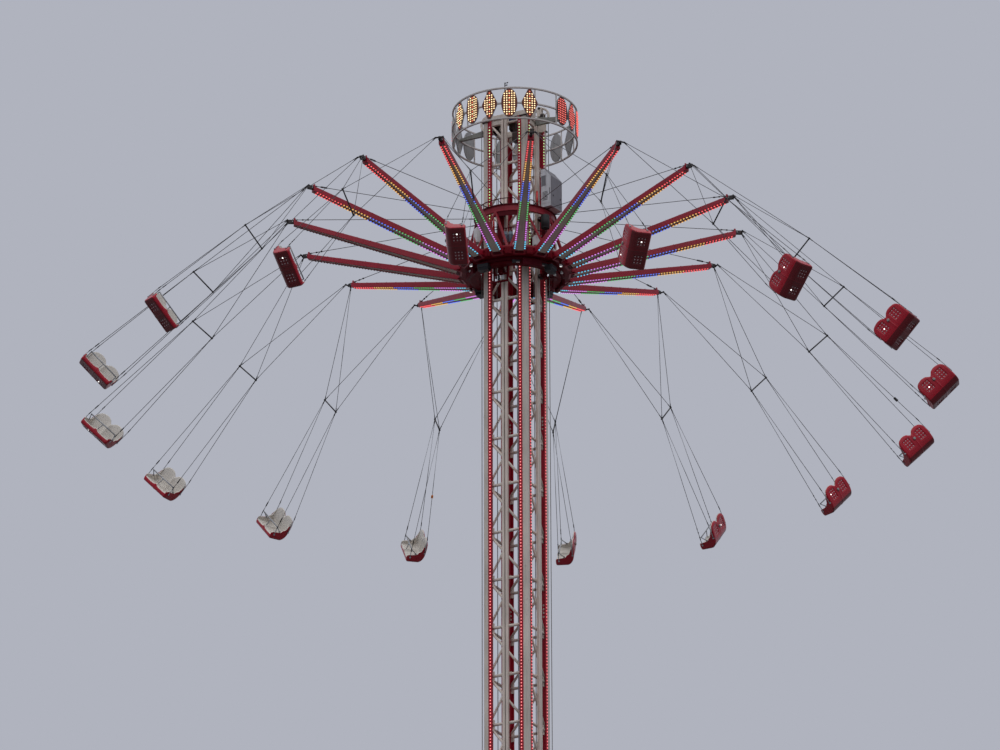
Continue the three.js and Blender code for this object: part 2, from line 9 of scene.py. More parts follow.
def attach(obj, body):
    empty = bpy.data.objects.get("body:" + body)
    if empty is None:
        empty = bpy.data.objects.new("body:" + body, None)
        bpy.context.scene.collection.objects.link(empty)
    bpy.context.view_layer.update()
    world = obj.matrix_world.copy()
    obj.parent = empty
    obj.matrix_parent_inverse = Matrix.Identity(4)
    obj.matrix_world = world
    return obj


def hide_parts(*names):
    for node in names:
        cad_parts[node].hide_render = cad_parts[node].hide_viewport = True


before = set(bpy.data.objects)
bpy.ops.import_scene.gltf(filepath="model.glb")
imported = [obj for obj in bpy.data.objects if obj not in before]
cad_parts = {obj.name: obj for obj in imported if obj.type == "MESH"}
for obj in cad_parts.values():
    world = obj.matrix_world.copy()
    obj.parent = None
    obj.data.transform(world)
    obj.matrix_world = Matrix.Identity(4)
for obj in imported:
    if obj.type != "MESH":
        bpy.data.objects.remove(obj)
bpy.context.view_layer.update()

# Studio. The ride is seen from far below under an overcast sky: a wide soft light from above and
# a plain pale blue-grey surround, over a plain pale floor. The camera stands where the photo was
# taken from, almost on the ground and 74 m from the hub.


def tone(red, green, blue):
    """A colour as it is seen, 0 to 255, turned into linear light."""
    def lit(value):
        share = value / 255
        return share / 12.92 if share <= 0.04045 else ((share + 0.055) / 1.055) ** 2.4
    return (lit(red), lit(green), lit(blue), 1.0)


def feed(tree, made, inputs):
    """Sets a node's inputs. An input that is given as a socket is linked."""
    for name, value in inputs.items():
        if isinstance(value, bpy.types.NodeSocket):
            tree.links.new(value, made.inputs[name])
        else:
            made.inputs[name].default_value = value
    return made


def node(tree, kind, inputs=None, **settings):
    """Adds a node with its settings and its inputs."""
    made = tree.nodes.new(kind if kind.startswith("NodeGroup") else "ShaderNode" + kind)
    for name, value in settings.items():
        setattr(made, name, value)
    return feed(tree, made, inputs or {})


def new_finish(name):
    """An empty finish: the material, its node tree and its shader."""
    material = bpy.data.materials.new(name)
    material.use_nodes = True
    return material, material.node_tree, material.node_tree.nodes["Principled BSDF"]


def keep_mesh(bm, name):
    """Turns a bmesh into a mesh and lets the bmesh go."""
    mesh = bpy.data.meshes.new(name)
    bm.to_mesh(mesh)
    bm.free()
    return mesh


def add_object(name, data):
    """Puts a mesh, a light or a camera into the scene."""
    made = bpy.data.objects.new(name, data)
    bpy.context.scene.collection.objects.link(made)
    return made


SKY = tone(176, 179, 190)
SKY_OVERHEAD = tone(205, 208, 216)
GROUND_HAZE = tone(72, 72, 74)

world = bpy.data.worlds.new("overcast")
bpy.context.scene.world = world
bpy.context.scene.view_settings.view_transform = "Standard"
world.use_nodes = True
sky = world.node_tree
sky.nodes.clear()
direction = node(sky, "TexCoord").outputs["Generated"]
height = node(sky, "SeparateXYZ", {"Vector": direction}).outputs["Z"]
share = node(sky, "MapRange", {"Value": height, "From Min": -1.0, "From Max": 1.0}).outputs[0]
ramp = node(sky, "ValToRGB", {"Fac": share})
ramp.color_ramp.elements[0].position = 0.42
ramp.color_ramp.elements[0].color = GROUND_HAZE
ramp.color_ramp.elements[1].position = 1.0
ramp.color_ramp.elements[1].color = SKY_OVERHEAD
horizon = ramp.color_ramp.elements.new(0.46)
horizon.color = SKY
middle_sky = ramp.color_ramp.elements.new(0.75)
middle_sky.color = SKY
surround = node(sky, "Background", {"Color": ramp.outputs["Color"], "Strength": 1.0})
node(sky, "OutputWorld", {"Surface": surround.outputs["Background"]})

cloud_light = bpy.data.lights.new("cloud_light", "SUN")
cloud_light.energy = 1.1
cloud_light.angle = math.radians(100)
cloud_light.color = (1.0, 0.98, 0.96)
cloud = add_object("cloud_light", cloud_light)
cloud.rotation_euler = (math.radians(18), math.radians(12), 0)

lens = bpy.data.cameras.new("camera")
lens.sensor_width = 36
lens.lens = 173.733
lens.clip_start = 0.1
lens.clip_end = 600
camera = add_object("camera", lens)
camera.location = (30.1130, -60.9289, 0.7929)
camera.rotation_euler = (math.radians(111.7835), math.radians(0.1243), math.radians(26.5521))
bpy.context.scene.camera = camera

bm = bmesh.new()
bmesh.ops.create_circle(bm, cap_ends=True, segments=96, radius=500)
bmesh.ops.translate(bm, vec=(0, 0, -0.002), verts=bm.verts)
floor = add_object("floor", keep_mesh(bm, "floor"))
floor_finish, floor_tree, floor_shader = new_finish("pale floor")
feed(floor_tree, floor_shader, {"Base Color": tone(168, 168, 170), "Roughness": 0.9})
floor.data.materials.append(floor_finish)
floor.visible_diffuse = False

# Tower foot. A steel base plate on the ground with gussets that take the corner posts, hold-down
# bolts round its edge, and a foot sheave on either side between two bolted cheeks.


def new_group(name, inputs, outputs):
    """An empty shader group with the named inputs, each with its start value, and outputs."""
    tree = bpy.data.node_groups.new(name, "ShaderNodeTree")
    kinds = {"color": "NodeSocketColor", "value": "NodeSocketFloat"}
    for label, (kind, start) in inputs.items():
        socket = tree.interface.new_socket(label, in_out="INPUT", socket_type=kinds[kind])
        socket.default_value = start
    for label, kind in outputs.items():
        tree.interface.new_socket(label, in_out="OUTPUT", socket_type=kinds[kind])
    return tree


def mixed(tree, share, low, high):
    return node(tree, "Mix", {0: share, 6: low, 7: high}, data_type="RGBA").outputs[2]


def scaled(tree, colour, share):
    return node(tree, "VectorMath", {0: colour, "Scale": share}, operation="SCALE").outputs[0]


def ranged(tree, value, low, high, start=0.0, end=1.0):
    sizes = {"Value": value, "From Min": low, "From Max": high, "To Min": start, "To Max": end}
    return node(tree, "MapRange", sizes).outputs[0]


def noise(tree, where, scale, detail):
    return node(tree, "TexNoise", {"Vector": where, "Scale": scale, "Detail": detail}).outputs["Fac"]


def computed(tree, operation, *values):
    return node(tree, "Math", dict(enumerate(values)), operation=operation).outputs[0]


def make_paint_group():
    """Sprayed paint outdoors: uneven tone, rain streaks, dust on top, small chips, orange peel."""
    tree = new_group(
        "weathered paint",
        {
            "Paint": ("color", (0.8, 0.8, 0.8, 1.0)),
            "Dirt": ("color", (0.1, 0.1, 0.1, 1.0)),
            "Streaks": ("value", 0.4),
            "Chips": ("value", 0.3),
            "Roughness": ("value", 0.4),
        },
        {"Color": "color", "Roughness": "value", "Height": "value"},
    )
    given = node(tree, "NodeGroupInput").outputs
    where = node(tree, "TexCoord").outputs
    patches = noise(tree, where["Object"], 1.9, 3.0)
    faded = scaled(tree, given["Paint"], ranged(tree, patches, 0.3, 0.7, 0.86, 1.1))
    upright = node(tree, "Mapping", {"Vector": where["Object"], "Scale": (26.0, 26.0, 1.1)}).outputs[0]
    runs = ranged(tree, noise(tree, upright, 1.0, 4.0), 0.52, 0.74, end=given["Streaks"])
    streaked = mixed(tree, runs, faded, given["Dirt"])
    upward = node(tree, "SeparateXYZ", {"Vector": where["Normal"]}).outputs["Z"]
    dust = ranged(tree, upward, 0.55, 1.0, end=0.22)
    dusted = mixed(tree, dust, streaked, tone(150, 142, 134))
    flakes = ranged(tree, noise(tree, where["Object"], 34.0, 5.0), 0.66, 0.69, end=given["Chips"])
    chipped = mixed(tree, flakes, dusted, tone(70, 62, 58))
    rougher = computed(tree, "MULTIPLY_ADD", runs, 0.35, given["Roughness"])
    dull = computed(tree, "MULTIPLY_ADD", dust, 0.9, rougher)
    skin = computed(tree, "MULTIPLY_ADD", flakes, -1.5, noise(tree, where["Object"], 210.0, 2.0))
    node(tree, "NodeGroupOutput", {"Color": chipped, "Roughness": dull, "Height": skin})
    return tree


paint_group = make_paint_group()


def painted(name, colour, dirt, roughness, streaks=0.4, chips=0.3, metallic=0.0, coat=0.0, shine=0.35):
    """A painted or plain metal finish, weathered outdoors."""
    material, tree, shader = new_finish(name)
    wear = node(
        tree, "Group",
        {
            "Paint": tone(*colour), "Dirt": tone(*dirt),
            "Streaks": streaks, "Chips": chips, "Roughness": roughness,
        },
        node_tree=paint_group,
    ).outputs
    skin = node(tree, "Bump", {"Height": wear["Height"], "Strength": 0.12, "Distance": 0.002})
    feed(tree, shader, {
        "Base Color": wear["Color"], "Roughness": wear["Roughness"], "Normal": skin.outputs["Normal"],
        "Metallic": metallic, "Coat Weight": coat, "Coat Roughness": 0.12, "Specular IOR Level": shine,
    })
    return material


# Faces carry a number for their finish until fit_piece. 0 is the piece's own main finish.
palette = [None]


def number_of(finish):
    if finish not in palette:
        palette.append(finish)
    return palette.index(finish)


def block(bm, low, high, edge=0.0, place=None, finish=None, segments=1):
    """A block between two opposite corners, with its edges rounded off."""
    pairs = list(zip(low, high))
    low = Vector([min(pair) for pair in pairs])
    high = Vector([max(pair) for pair in pairs])
    made = bmesh.ops.create_cube(bm, size=1.0)["verts"]
    bmesh.ops.scale(bm, vec=high - low, verts=made)
    bmesh.ops.translate(bm, vec=(high + low) / 2, verts=made)
    if edge:
        edges = list({side for corner in made for side in corner.link_edges})
        rounded = bmesh.ops.bevel(
            bm, geom=edges, offset=edge, offset_type="OFFSET", affect="EDGES",
            segments=segments, profile=0.5, material=-1,
        )
        made = list({corner for face in rounded["faces"] for corner in face.verts})
    if place is not None:
        bmesh.ops.transform(bm, matrix=place, verts=made)
    number = number_of(finish)
    for face in {face for corner in made for face in corner.link_faces}:
        face.material_index = number
    return made


def midway(start, end):
    """The place halfway between two points, with +Z from the first to the second."""
    along = end - start
    return at(*(start + along / 2)) @ along.to_track_quat("Z", "Y").to_matrix().to_4x4()


def rod(bm, start, end, radius, sides=10, finish=None, end_radius=None, place=Matrix.Identity(4)):
    """A round bar or tube from one point to another."""
    start = place @ Vector(start)
    end = place @ Vector(end)
    made = bmesh.ops.create_cone(
        bm, cap_ends=True, cap_tris=False, segments=sides, radius1=radius,
        radius2=radius if end_radius is None else end_radius,
        depth=(end - start).length, matrix=midway(start, end),
    )["verts"]
    number = number_of(finish)
    for face in {face for corner in made for face in corner.link_faces}:
        face.smooth = len(face.verts) == 4
        face.material_index = number
    return made


def turned(bm, outline, steps, place=None, finish=None, smooth=True):
    """A closed outline of (radius, height) points turned once round the upright axis."""
    before = set(bm.faces)
    corners = [bm.verts.new((radius, 0, height)) for radius, height in outline]
    sides = [bm.edges.new((corners[i - 1], corners[i])) for i in range(len(corners))]
    bmesh.ops.spin(
        bm, geom=corners + sides, cent=(0, 0, 0), axis=(0, 0, 1), dvec=(0, 0, 0),
        angle=math.tau, steps=steps, use_merge=True, use_duplicate=False,
    )
    faces = [face for face in bm.faces if face not in before]
    if place is not None:
        bmesh.ops.transform(bm, matrix=place, verts=list({v for face in faces for v in face.verts}))
    number = number_of(finish)
    for face in faces:
        face.smooth = smooth
        face.material_index = number


def slab(bm, outline, thick, place=None, finish=None, edge=0.0):
    """A plate with the given outline in the XY plane, as thick as stated along Z."""
    corners = [bm.verts.new((x, y, 0)) for x, y in outline]
    face = bm.faces.new(corners)
    raised = bmesh.ops.extrude_face_region(bm, geom=[face])["geom"]
    top = [item for item in raised if isinstance(item, bmesh.types.BMVert)]
    bmesh.ops.translate(bm, vec=(0, 0, thick), verts=top)
    made = corners + top
    if edge:
        rims = [e for e in {e for v in made for e in v.link_edges} if not e.is_boundary]
        rims = [e for e in rims if abs(e.verts[0].co.z - e.verts[1].co.z) < 1e-9]
        rounded = bmesh.ops.bevel(
            bm, geom=rims, offset=edge, offset_type="OFFSET", affect="EDGES",
            segments=1, profile=0.5, material=-1,
        )
        made = list({corner for part in rounded["faces"] for corner in part.verts})
    if place is not None:
        bmesh.ops.transform(bm, matrix=place, verts=made)
    faces = {part for corner in made for part in corner.link_faces}
    number = number_of(finish)
    for part in faces:
        part.material_index = number
    return faces


def stamp(bm, pattern, place, scale=1.0, finish=None):
    """Adds one more of a small repeated part at its place, in another finish where one is given."""
    copy = pattern.copy()
    copy.transform(place @ Matrix.Scale(scale, 4))
    first = len(bm.faces)
    bm.from_mesh(copy)
    bpy.data.meshes.remove(copy)
    if finish:
        bm.faces.ensure_lookup_table()
        number = number_of(finish)
        for face in bm.faces[first:]:
            face.material_index = number


def pattern_of(bm, name):
    """Keeps a small repeated part as a mesh that stamp copies."""
    bmesh.ops.recalc_face_normals(bm, faces=bm.faces)
    return keep_mesh(bm, name)


def fit_piece(bm, name, body, finish, replaces=(), recalculate=True):
    """Turns the mesh into a finished piece, mainly in one finish, that rides on its body."""
    if recalculate:
        bmesh.ops.recalc_face_normals(bm, faces=bm.faces)
    used = sorted({face.material_index for face in bm.faces})
    for face in bm.faces:
        face.material_index = used.index(face.material_index)
    piece = add_object(name, keep_mesh(bm, name))
    for number in used:
        piece.data.materials.append(palette[number] or finish)
    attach(piece, body)
    if replaces:
        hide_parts(*replaces)


def at(x, y, z):
    return Matrix.Translation((x, y, z))


def about_z(degrees):
    return Matrix.Rotation(math.radians(degrees), 4, "Z")


def polar(radius, degrees, height):
    angle = math.radians(degrees)
    return Vector((radius * math.cos(angle), radius * math.sin(angle), height))


# Turns of a shape that stands along +Z: to -Y, to +X, to -X, and to -Z.
TO_FRONT = Matrix.Rotation(math.pi / 2, 4, "X")
TO_RIGHT = Matrix.Rotation(math.pi / 2, 4, "Y")
TO_LEFT = Matrix.Rotation(-math.pi / 2, 4, "Y")
TO_GROUND = Matrix.Rotation(math.pi, 4, "X")


def bolt_pattern():
    """A hexagon bolt head on its washer, standing along +Z."""
    bm = bmesh.new()
    rod(bm, (0, 0, 0), (0, 0, 0.003), 0.016, sides=10)
    rod(bm, (0, 0, 0.003), (0, 0, 0.014), 0.0115, sides=6)
    for face in bm.faces:
        face.smooth = False
    return pattern_of(bm, "bolt")


LIGHT_GREY = (211, 201, 190)
GREY_GRIME = (120, 108, 98)
tower_grey = painted("tower grey paint", LIGHT_GREY, GREY_GRIME, 0.45, streaks=0.35, chips=0.25)
dark_steel = painted("dark steel", (58, 54, 54), (92, 66, 48), 0.5, streaks=0.3, chips=0.2, metallic=0.5)
zinc = painted("zinc plated steel", (150, 152, 156), (96, 90, 84), 0.38, streaks=0.3, chips=0.1,
               metallic=0.8)
bolt = bolt_pattern()

SHEAVE_X = 0.415
SHEAVE_Y = 0.060


def sheave(z, finish=None):
    """A rope sheave with a deep groove and open spokes, on a pin between its cheeks."""
    bm = bmesh.new()
    turn = at(SHEAVE_X, SHEAVE_Y, z) @ TO_FRONT
    rim = [(0.116, -0.008), (0.147, -0.012), (0.150, -0.011), (0.150, -0.0085), (0.128, -0.0065),
           (0.1235, 0.0), (0.128, 0.0065), (0.150, 0.0085), (0.150, 0.011), (0.147, 0.012),
           (0.116, 0.008)]
    turned(bm, rim, 40, place=turn, finish=finish)
    turned(bm, [(0.020, -0.016), (0.042, -0.016), (0.042, 0.016), (0.020, 0.016)], 20, place=turn,
           finish=finish)
    for i in range(5):
        spoke = turn @ about_z(72 * i + 20)
        block(bm, (0.036, -0.008, -0.006), (0.120, 0.008, 0.006), edge=0.002, place=spoke, finish=finish)
    rod(bm, (SHEAVE_X, SHEAVE_Y - 0.036, z), (SHEAVE_X, SHEAVE_Y + 0.036, z), 0.020, sides=16, finish=finish)
    return pattern_of(bm, "sheave")


bm = bmesh.new()
block(bm, (-0.62, -0.62, 0), (0.62, 0.62, 0.040), edge=0.006)
GUSSET = [(0.3653, 0.039), (0.500, 0.039), (0.500, 0.075), (0.400, 0.260), (0.3653, 0.260)]
across = Matrix(((0, 1, 0, 0), (1, 0, 0, 0), (0, 0, 1, 0), (0, 0, 0, 1)))
for corner in range(4):
    for mirror in (Matrix.Identity(4), across):
        slab(bm, GUSSET, 0.020, place=about_z(90 * corner) @ mirror @ at(0, 0.325, 0) @ TO_FRONT, edge=0.002)
for half_turn in (0, 180):
    spin_half = about_z(half_turn)
    for side in (-1, 1):
        cheek = SHEAVE_Y + side * 0.020
        block(bm, (0.345, cheek, 0.039), (0.485, cheek + side * 0.012, 0.280), edge=0.003, place=spin_half)
    stamp(bm, sheave(0.230, dark_steel), spin_half)
for i in range(7):
    for j in range(7):
        if max(abs(i - 3), abs(j - 3)) == 3:
            stamp(bm, bolt, at(0.185 * (i - 3), 0.185 * (j - 3), 0.040), 1.5)
fit_piece(bm, "tower_foot", "tower", tower_grey, replaces=["base_plate"])

# Corner posts. Square steel tubes with rounded corners in three-metre lengths, joined over inner
# sleeves that are held by four bolts a side.

POST_IN = 0.265
POST_OUT = 0.365
POST_FOOT = 0.0403
POST_TOP = 32.086

bm = bmesh.new()
for corner in range(4):
    turn = about_z(90 * corner)
    block(bm, (POST_IN, POST_IN, POST_FOOT), (POST_OUT, POST_OUT, POST_TOP), edge=0.012, place=turn,
          segments=3)
    for joint in range(10):
        z = 3.2 + 3.0 * joint
        weld_low = (POST_IN - 0.002, POST_IN - 0.002, z - 0.006)
        weld_high = (POST_OUT + 0.002, POST_OUT + 0.002, z + 0.006)
        block(bm, weld_low, weld_high, edge=0.003, place=turn)
        for rise in (-0.09, -0.03, 0.03, 0.09):
            stamp(bm, bolt, turn @ at(POST_IN - 0.0035, 0.320, z + rise) @ TO_LEFT)
            stamp(bm, bolt, turn @ at(0.320, POST_IN - 0.0035, z + rise) @ TO_FRONT)
fit_piece(bm, "corner_posts", "tower", tower_grey,
          replaces=["corner_chord_1", "corner_chord_2", "corner_chord_3", "corner_chord_4"])

# Light boards. Folded sheet strips in dark red, lapped over the edges of each post's two outer
# faces and folded back round its inner corner, in three-metre lengths screwed to the post.

BOARD_IN = 0.226
BOARD_LAP = 0.288
BOARD_BACK = 0.351
BOARD_FACE = 0.3695

board_red = painted("board red paint", (166, 16, 42), (66, 14, 20), 0.42, streaks=0.3, chips=0.15,
                    coat=0.08, shine=0.25)

bm = bmesh.new()
for corner in range(4):
    turn = about_z(90 * corner)
    for length in range(11):
        low = max(POST_FOOT, 0.2 + 3.0 * length - 0.16 * (length == 0)) + 0.002
        high = min(3.2 + 3.0 * length, POST_TOP) - 0.002
        if high > low:
            block(bm, (BOARD_BACK, BOARD_IN, low), (BOARD_FACE, POST_IN - 0.0005, high), edge=0.002,
                  place=turn)
            block(bm, (BOARD_IN, BOARD_BACK, low), (POST_IN - 0.0005, BOARD_FACE, high), edge=0.002,
                  place=turn)
            block(bm, (0.3655, 0.263, low), (BOARD_FACE, BOARD_LAP, high), edge=0.001, place=turn)
            block(bm, (0.263, 0.3655, low), (BOARD_LAP, BOARD_FACE, high), edge=0.001, place=turn)
            block(bm, (0.2615, 0.2615, low), (0.2645, BOARD_BACK, high), place=turn)
            block(bm, (0.2645, 0.2615, low), (BOARD_BACK, 0.2645, high), place=turn)
fit_piece(bm, "light_boards", "tower", board_red)

# Tower lamps. Clear plastic domes over coloured lights, pushed into the boards every 50 mm. The
# lights run red up the tower, green about the carriage, and dim red again under the head.


def make_glow_group():
    """Light in a lamp's dome: bright and pale in the middle, its own colour towards the rim."""
    tree = new_group(
        "lit dome",
        {"Light": ("color", (1.0, 0.1, 0.1, 1.0)), "Core": ("value", 1.0), "Pale": ("value", 0.5)},
        {"Glow": "color", "Lens": "color"},
    )
    given = node(tree, "NodeGroupInput").outputs
    rim = scaled(tree, given["Light"], 0.75)
    core = computed(tree, "MULTIPLY", given["Core"], given["Pale"])
    glow = mixed(tree, core, rim, (1.0, 1.0, 1.0, 1.0))
    where = node(tree, "TexCoord").outputs["Object"]
    ribs = ranged(tree, noise(tree, where, 260.0, 1.0), 0.0, 1.0, 0.7, 1.1)
    node(tree, "NodeGroupOutput", {"Glow": glow, "Lens": scaled(tree, given["Light"], ribs)})
    return tree


glow_group = make_glow_group()


def lamp_finish(name, bands, strength, pale, along="Z"):
    """A lit lamp whose colour changes at set heights or radii: bands are (lower end, colour)."""
    material, tree, shader = new_finish(name)
    where = node(tree, "TexCoord").outputs["Object"]
    parts = node(tree, "SeparateXYZ", {"Vector": where}).outputs
    reach = parts["Z"]
    if along == "radius":
        flat = node(tree, "CombineXYZ", {"X": parts["X"], "Y": parts["Y"]}).outputs["Vector"]
        reach = node(tree, "VectorMath", {0: flat}, operation="LENGTH").outputs["Value"]
    lowest = bands[0][0]
    highest = bands[-1][0]
    ramp = node(tree, "ValToRGB", {"Fac": ranged(tree, reach, lowest, highest)})
    ramp.color_ramp.interpolation = "CONSTANT"
    stops = ramp.color_ramp.elements
    stops.remove(stops[1])
    stops[0].position = 0.0
    stops[0].color = tone(*bands[0][1])
    for height, colour in bands[1:-1]:
        stops.new((height - lowest) / (highest - lowest)).color = tone(*colour)
    core = node(tree, "Attribute", attribute_name="core").outputs["Fac"]
    dome = node(
        tree, "Group", {"Light": ramp.outputs["Color"], "Core": core, "Pale": pale}, node_tree=glow_group,
    ).outputs
    feed(tree, shader, {
        "Base Color": dome["Lens"], "Emission Color": dome["Glow"],
        "Emission Strength": strength, "Roughness": 0.18,
    })
    return material


def lamp_bmesh():
    """An empty bmesh whose corners can be marked as a lamp's core."""
    bm = bmesh.new()
    bm.verts.layers.float.new("core")
    return bm


def dome_pattern(radius, height):
    """A low lamp dome standing along +Z, with its core marked for the glow."""
    bm = lamp_bmesh()
    core = bm.verts.layers.float["core"]
    made = bmesh.ops.create_cone(
        bm, cap_ends=True, cap_tris=False, segments=6, radius1=radius, radius2=radius * 0.5,
        depth=height, matrix=at(0, 0, height / 2),
    )["verts"]
    bmesh.ops.delete(bm, geom=[f for f in bm.faces if f.calc_center_median().z < 1e-6], context="FACES_ONLY")
    for corner in made:
        corner[core] = 1.0 if corner.co.z > height / 2 else 0.0
    for face in bm.faces:
        face.smooth = True
    return pattern_of(bm, "dome")


DEEP_RED_LIGHT = (255, 52, 52)
DIM_RED = (96, 8, 20)
tower_light = lamp_finish(
    "tower lamps",
    [
        (0.0, DEEP_RED_LIGHT),
        (29.60, (120, 225, 70)),
        (30.90, DIM_RED),
        (31.375, (176, 240, 130)),
        (31.835, DIM_RED),
        (32.2, DIM_RED),
    ],
    strength=1.35, pale=0.38,
)

dome = dome_pattern(0.0115, 0.009)
bm = lamp_bmesh()
LAMP_PITCH = 0.0496
LAMP_ACROSS = 0.2555
for face_number in range(4):
    outward = about_z(90 * face_number) @ TO_FRONT
    column = lamp_bmesh()
    for i in range(644):
        stamp(column, dome, at(0, 0.090 + LAMP_PITCH * i, BOARD_FACE))
    row = keep_mesh(column, "lamp_row")
    for side in (-1, 1):
        stamp(bm, row, outward @ at(side * LAMP_ACROSS, 0, 0))
fit_piece(bm, "tower_lamps", "tower", tower_light, recalculate=False)

# Lattice. Round steel tubes welded between the posts: a level every 750 mm and one diagonal in
# each bay, which falls to the right as seen from outside, with a small gusset plate at each end.

BAY = 0.750
FIRST_LEVEL = 0.586
TUBE_Y = -0.3257
LACE_HALF = 0.2647

# The lattice has the posts' grey paint, made lighter here as painted light on the tubes' shaded sides.
lattice_grey_painted_light = painted("lattice grey painted light", (228, 216, 204), GREY_GRIME, 0.45, streaks=0.3, chips=0.2)

bm = bmesh.new()
for face_number in range(4):
    turn = about_z(90 * face_number)
    for i in range(42):
        z = FIRST_LEVEL + BAY * i
        rod(bm, (-LACE_HALF, TUBE_Y, z), (LACE_HALF, TUBE_Y, z), 0.0225, sides=12, place=turn)
        for side in (-1, 1):
            inner = side * (LACE_HALF - 0.06)
            block(bm, (side * LACE_HALF, TUBE_Y - 0.004, z - 0.075), (inner, TUBE_Y + 0.004, z + 0.075),
                  place=turn)
        if i < 41 or face_number in (0, 2):
            high = (-LACE_HALF, TUBE_Y, z + BAY - 0.045)
            rod(bm, (LACE_HALF, TUBE_Y, z + 0.045), high, 0.019, sides=12, place=turn)
fit_piece(bm, "tower_lattice", "tower", lattice_grey_painted_light,
          replaces=["lattice_face_1", "lattice_face_2", "lattice_face_3", "lattice_face_4"])

# Guide rails. Two rolled steel angles back to back up the middle of three faces, with a groove
# for the rollers' flanges, bolted to every second level through clips.

RAIL_HALF = 0.048
RAIL_BACK = 0.351
RAIL_FACE = 0.395
GROOVE_HALF = 0.007

rail_grey = painted("rail grey paint", (222, 208, 196), (110, 98, 88), 0.42, streaks=0.3, chips=0.2)

bm = bmesh.new()
for face_number in range(3):
    turn = about_z(90 * face_number)
    low, high = (POST_FOOT, 32.076) if face_number % 2 == 0 else (0.430, 32.010)
    block(bm, (-RAIL_HALF, -RAIL_FACE + 0.026, low), (RAIL_HALF, -RAIL_BACK, high), edge=0.002, place=turn)
    block(bm, (-GROOVE_HALF, -RAIL_FACE + 0.0245, low), (GROOVE_HALF, -RAIL_FACE + 0.0270, high), place=turn,
          finish=dark_steel)
    for side in (-1, 1):
        far = (side * RAIL_HALF, -RAIL_FACE + 0.027, high)
        block(bm, (side * GROOVE_HALF, -RAIL_FACE, low), far, edge=0.004, place=turn)
    level = 0
    while FIRST_LEVEL + 2 * BAY * level < high - 0.05:
        z = FIRST_LEVEL + 2 * BAY * level
        if z > low + 0.05:
            for side in (-1, 1):
                x = side * 0.068
                head = turn @ at(x, -0.3507, z) @ TO_FRONT
                block(bm, (x - 0.020, -0.356, z - 0.024), (x + 0.020, -0.345, z + 0.024),
                      edge=0.002, place=turn)
                stamp(bm, bolt, head @ at(0, 0, 0.0053), 0.7)
        level += 1
fit_piece(bm, "guide_rails", "tower", rail_grey,
          replaces=["guide_rail_1", "guide_rail_2", "guide_rail_3"])

# Ladder. A welded aluminium ladder up the inside of the tower, held off one face's levels by a
# bracket every three metres, with a round rung every 142 mm.

bm = bmesh.new()
block(bm, (0.022, -0.010, POST_FOOT), (0.046, 0.010, 30.610), edge=0.003)
block(bm, (0.198, -0.010, POST_FOOT), (0.222, 0.010, 30.610), edge=0.003)
for i in range(214):
    z = 0.19 + 0.142 * i
    rod(bm, (0.044, 0, z), (0.200, 0, z), 0.0085, sides=8)
for i in range(11):
    z = FIRST_LEVEL + 4 * BAY * i
    block(bm, (0.023, -0.008, z - 0.008), (0.3004, 0.008, z + 0.008), edge=0.002)
fit_piece(bm, "ladder", "tower", zinc, replaces=["tower_ladder"])

# Hoist ropes. Laid steel wire ropes, one closed loop on either side of the tower, which run over
# the head sheave and round the foot sheave.


def make_lay_group():
    """Strands laid round a rope: U goes round it, V along it in metres."""
    tree = new_group(
        "laid strands",
        {"Strand": ("color", (0.4, 0.4, 0.4, 1.0)), "Gap": ("color", (0.05, 0.05, 0.05, 1.0)),
         "Lay": ("value", 30.0)},
        {"Color": "color", "Height": "value"},
    )
    given = node(tree, "NodeGroupInput").outputs
    along = node(tree, "TexCoord").outputs["UV"]
    parts = node(tree, "SeparateXYZ", {"Vector": along}).outputs
    phase = computed(tree, "ADD", parts["X"], computed(tree, "MULTIPLY", parts["Y"], given["Lay"]))
    wave = computed(tree, "COSINE", computed(tree, "MULTIPLY", phase, 6 * math.tau))
    crown = ranged(tree, wave, -1.0, 1.0)
    grime = ranged(tree, noise(tree, along, 9.0, 3.0), 0.0, 1.0, 0.75, 1.15)
    strand = scaled(tree, given["Strand"], grime)
    node(tree, "NodeGroupOutput", {"Color": mixed(tree, crown, given["Gap"], strand), "Height": crown})
    return tree


lay_group = make_lay_group()


def rope_finish(name, strand, gap, metallic, roughness):
    """A wire rope whose strands follow its own UV map."""
    material, tree, shader = new_finish(name)
    look = {"Strand": tone(*strand), "Gap": tone(*gap), "Lay": 14.0}
    lay = node(tree, "Group", look, node_tree=lay_group).outputs
    relief = node(tree, "Bump", {"Height": lay["Height"], "Strength": 0.6, "Distance": 0.001})
    feed(tree, shader, {
        "Base Color": lay["Color"], "Normal": relief.outputs["Normal"],
        "Metallic": metallic, "Roughness": roughness,
    })
    return material


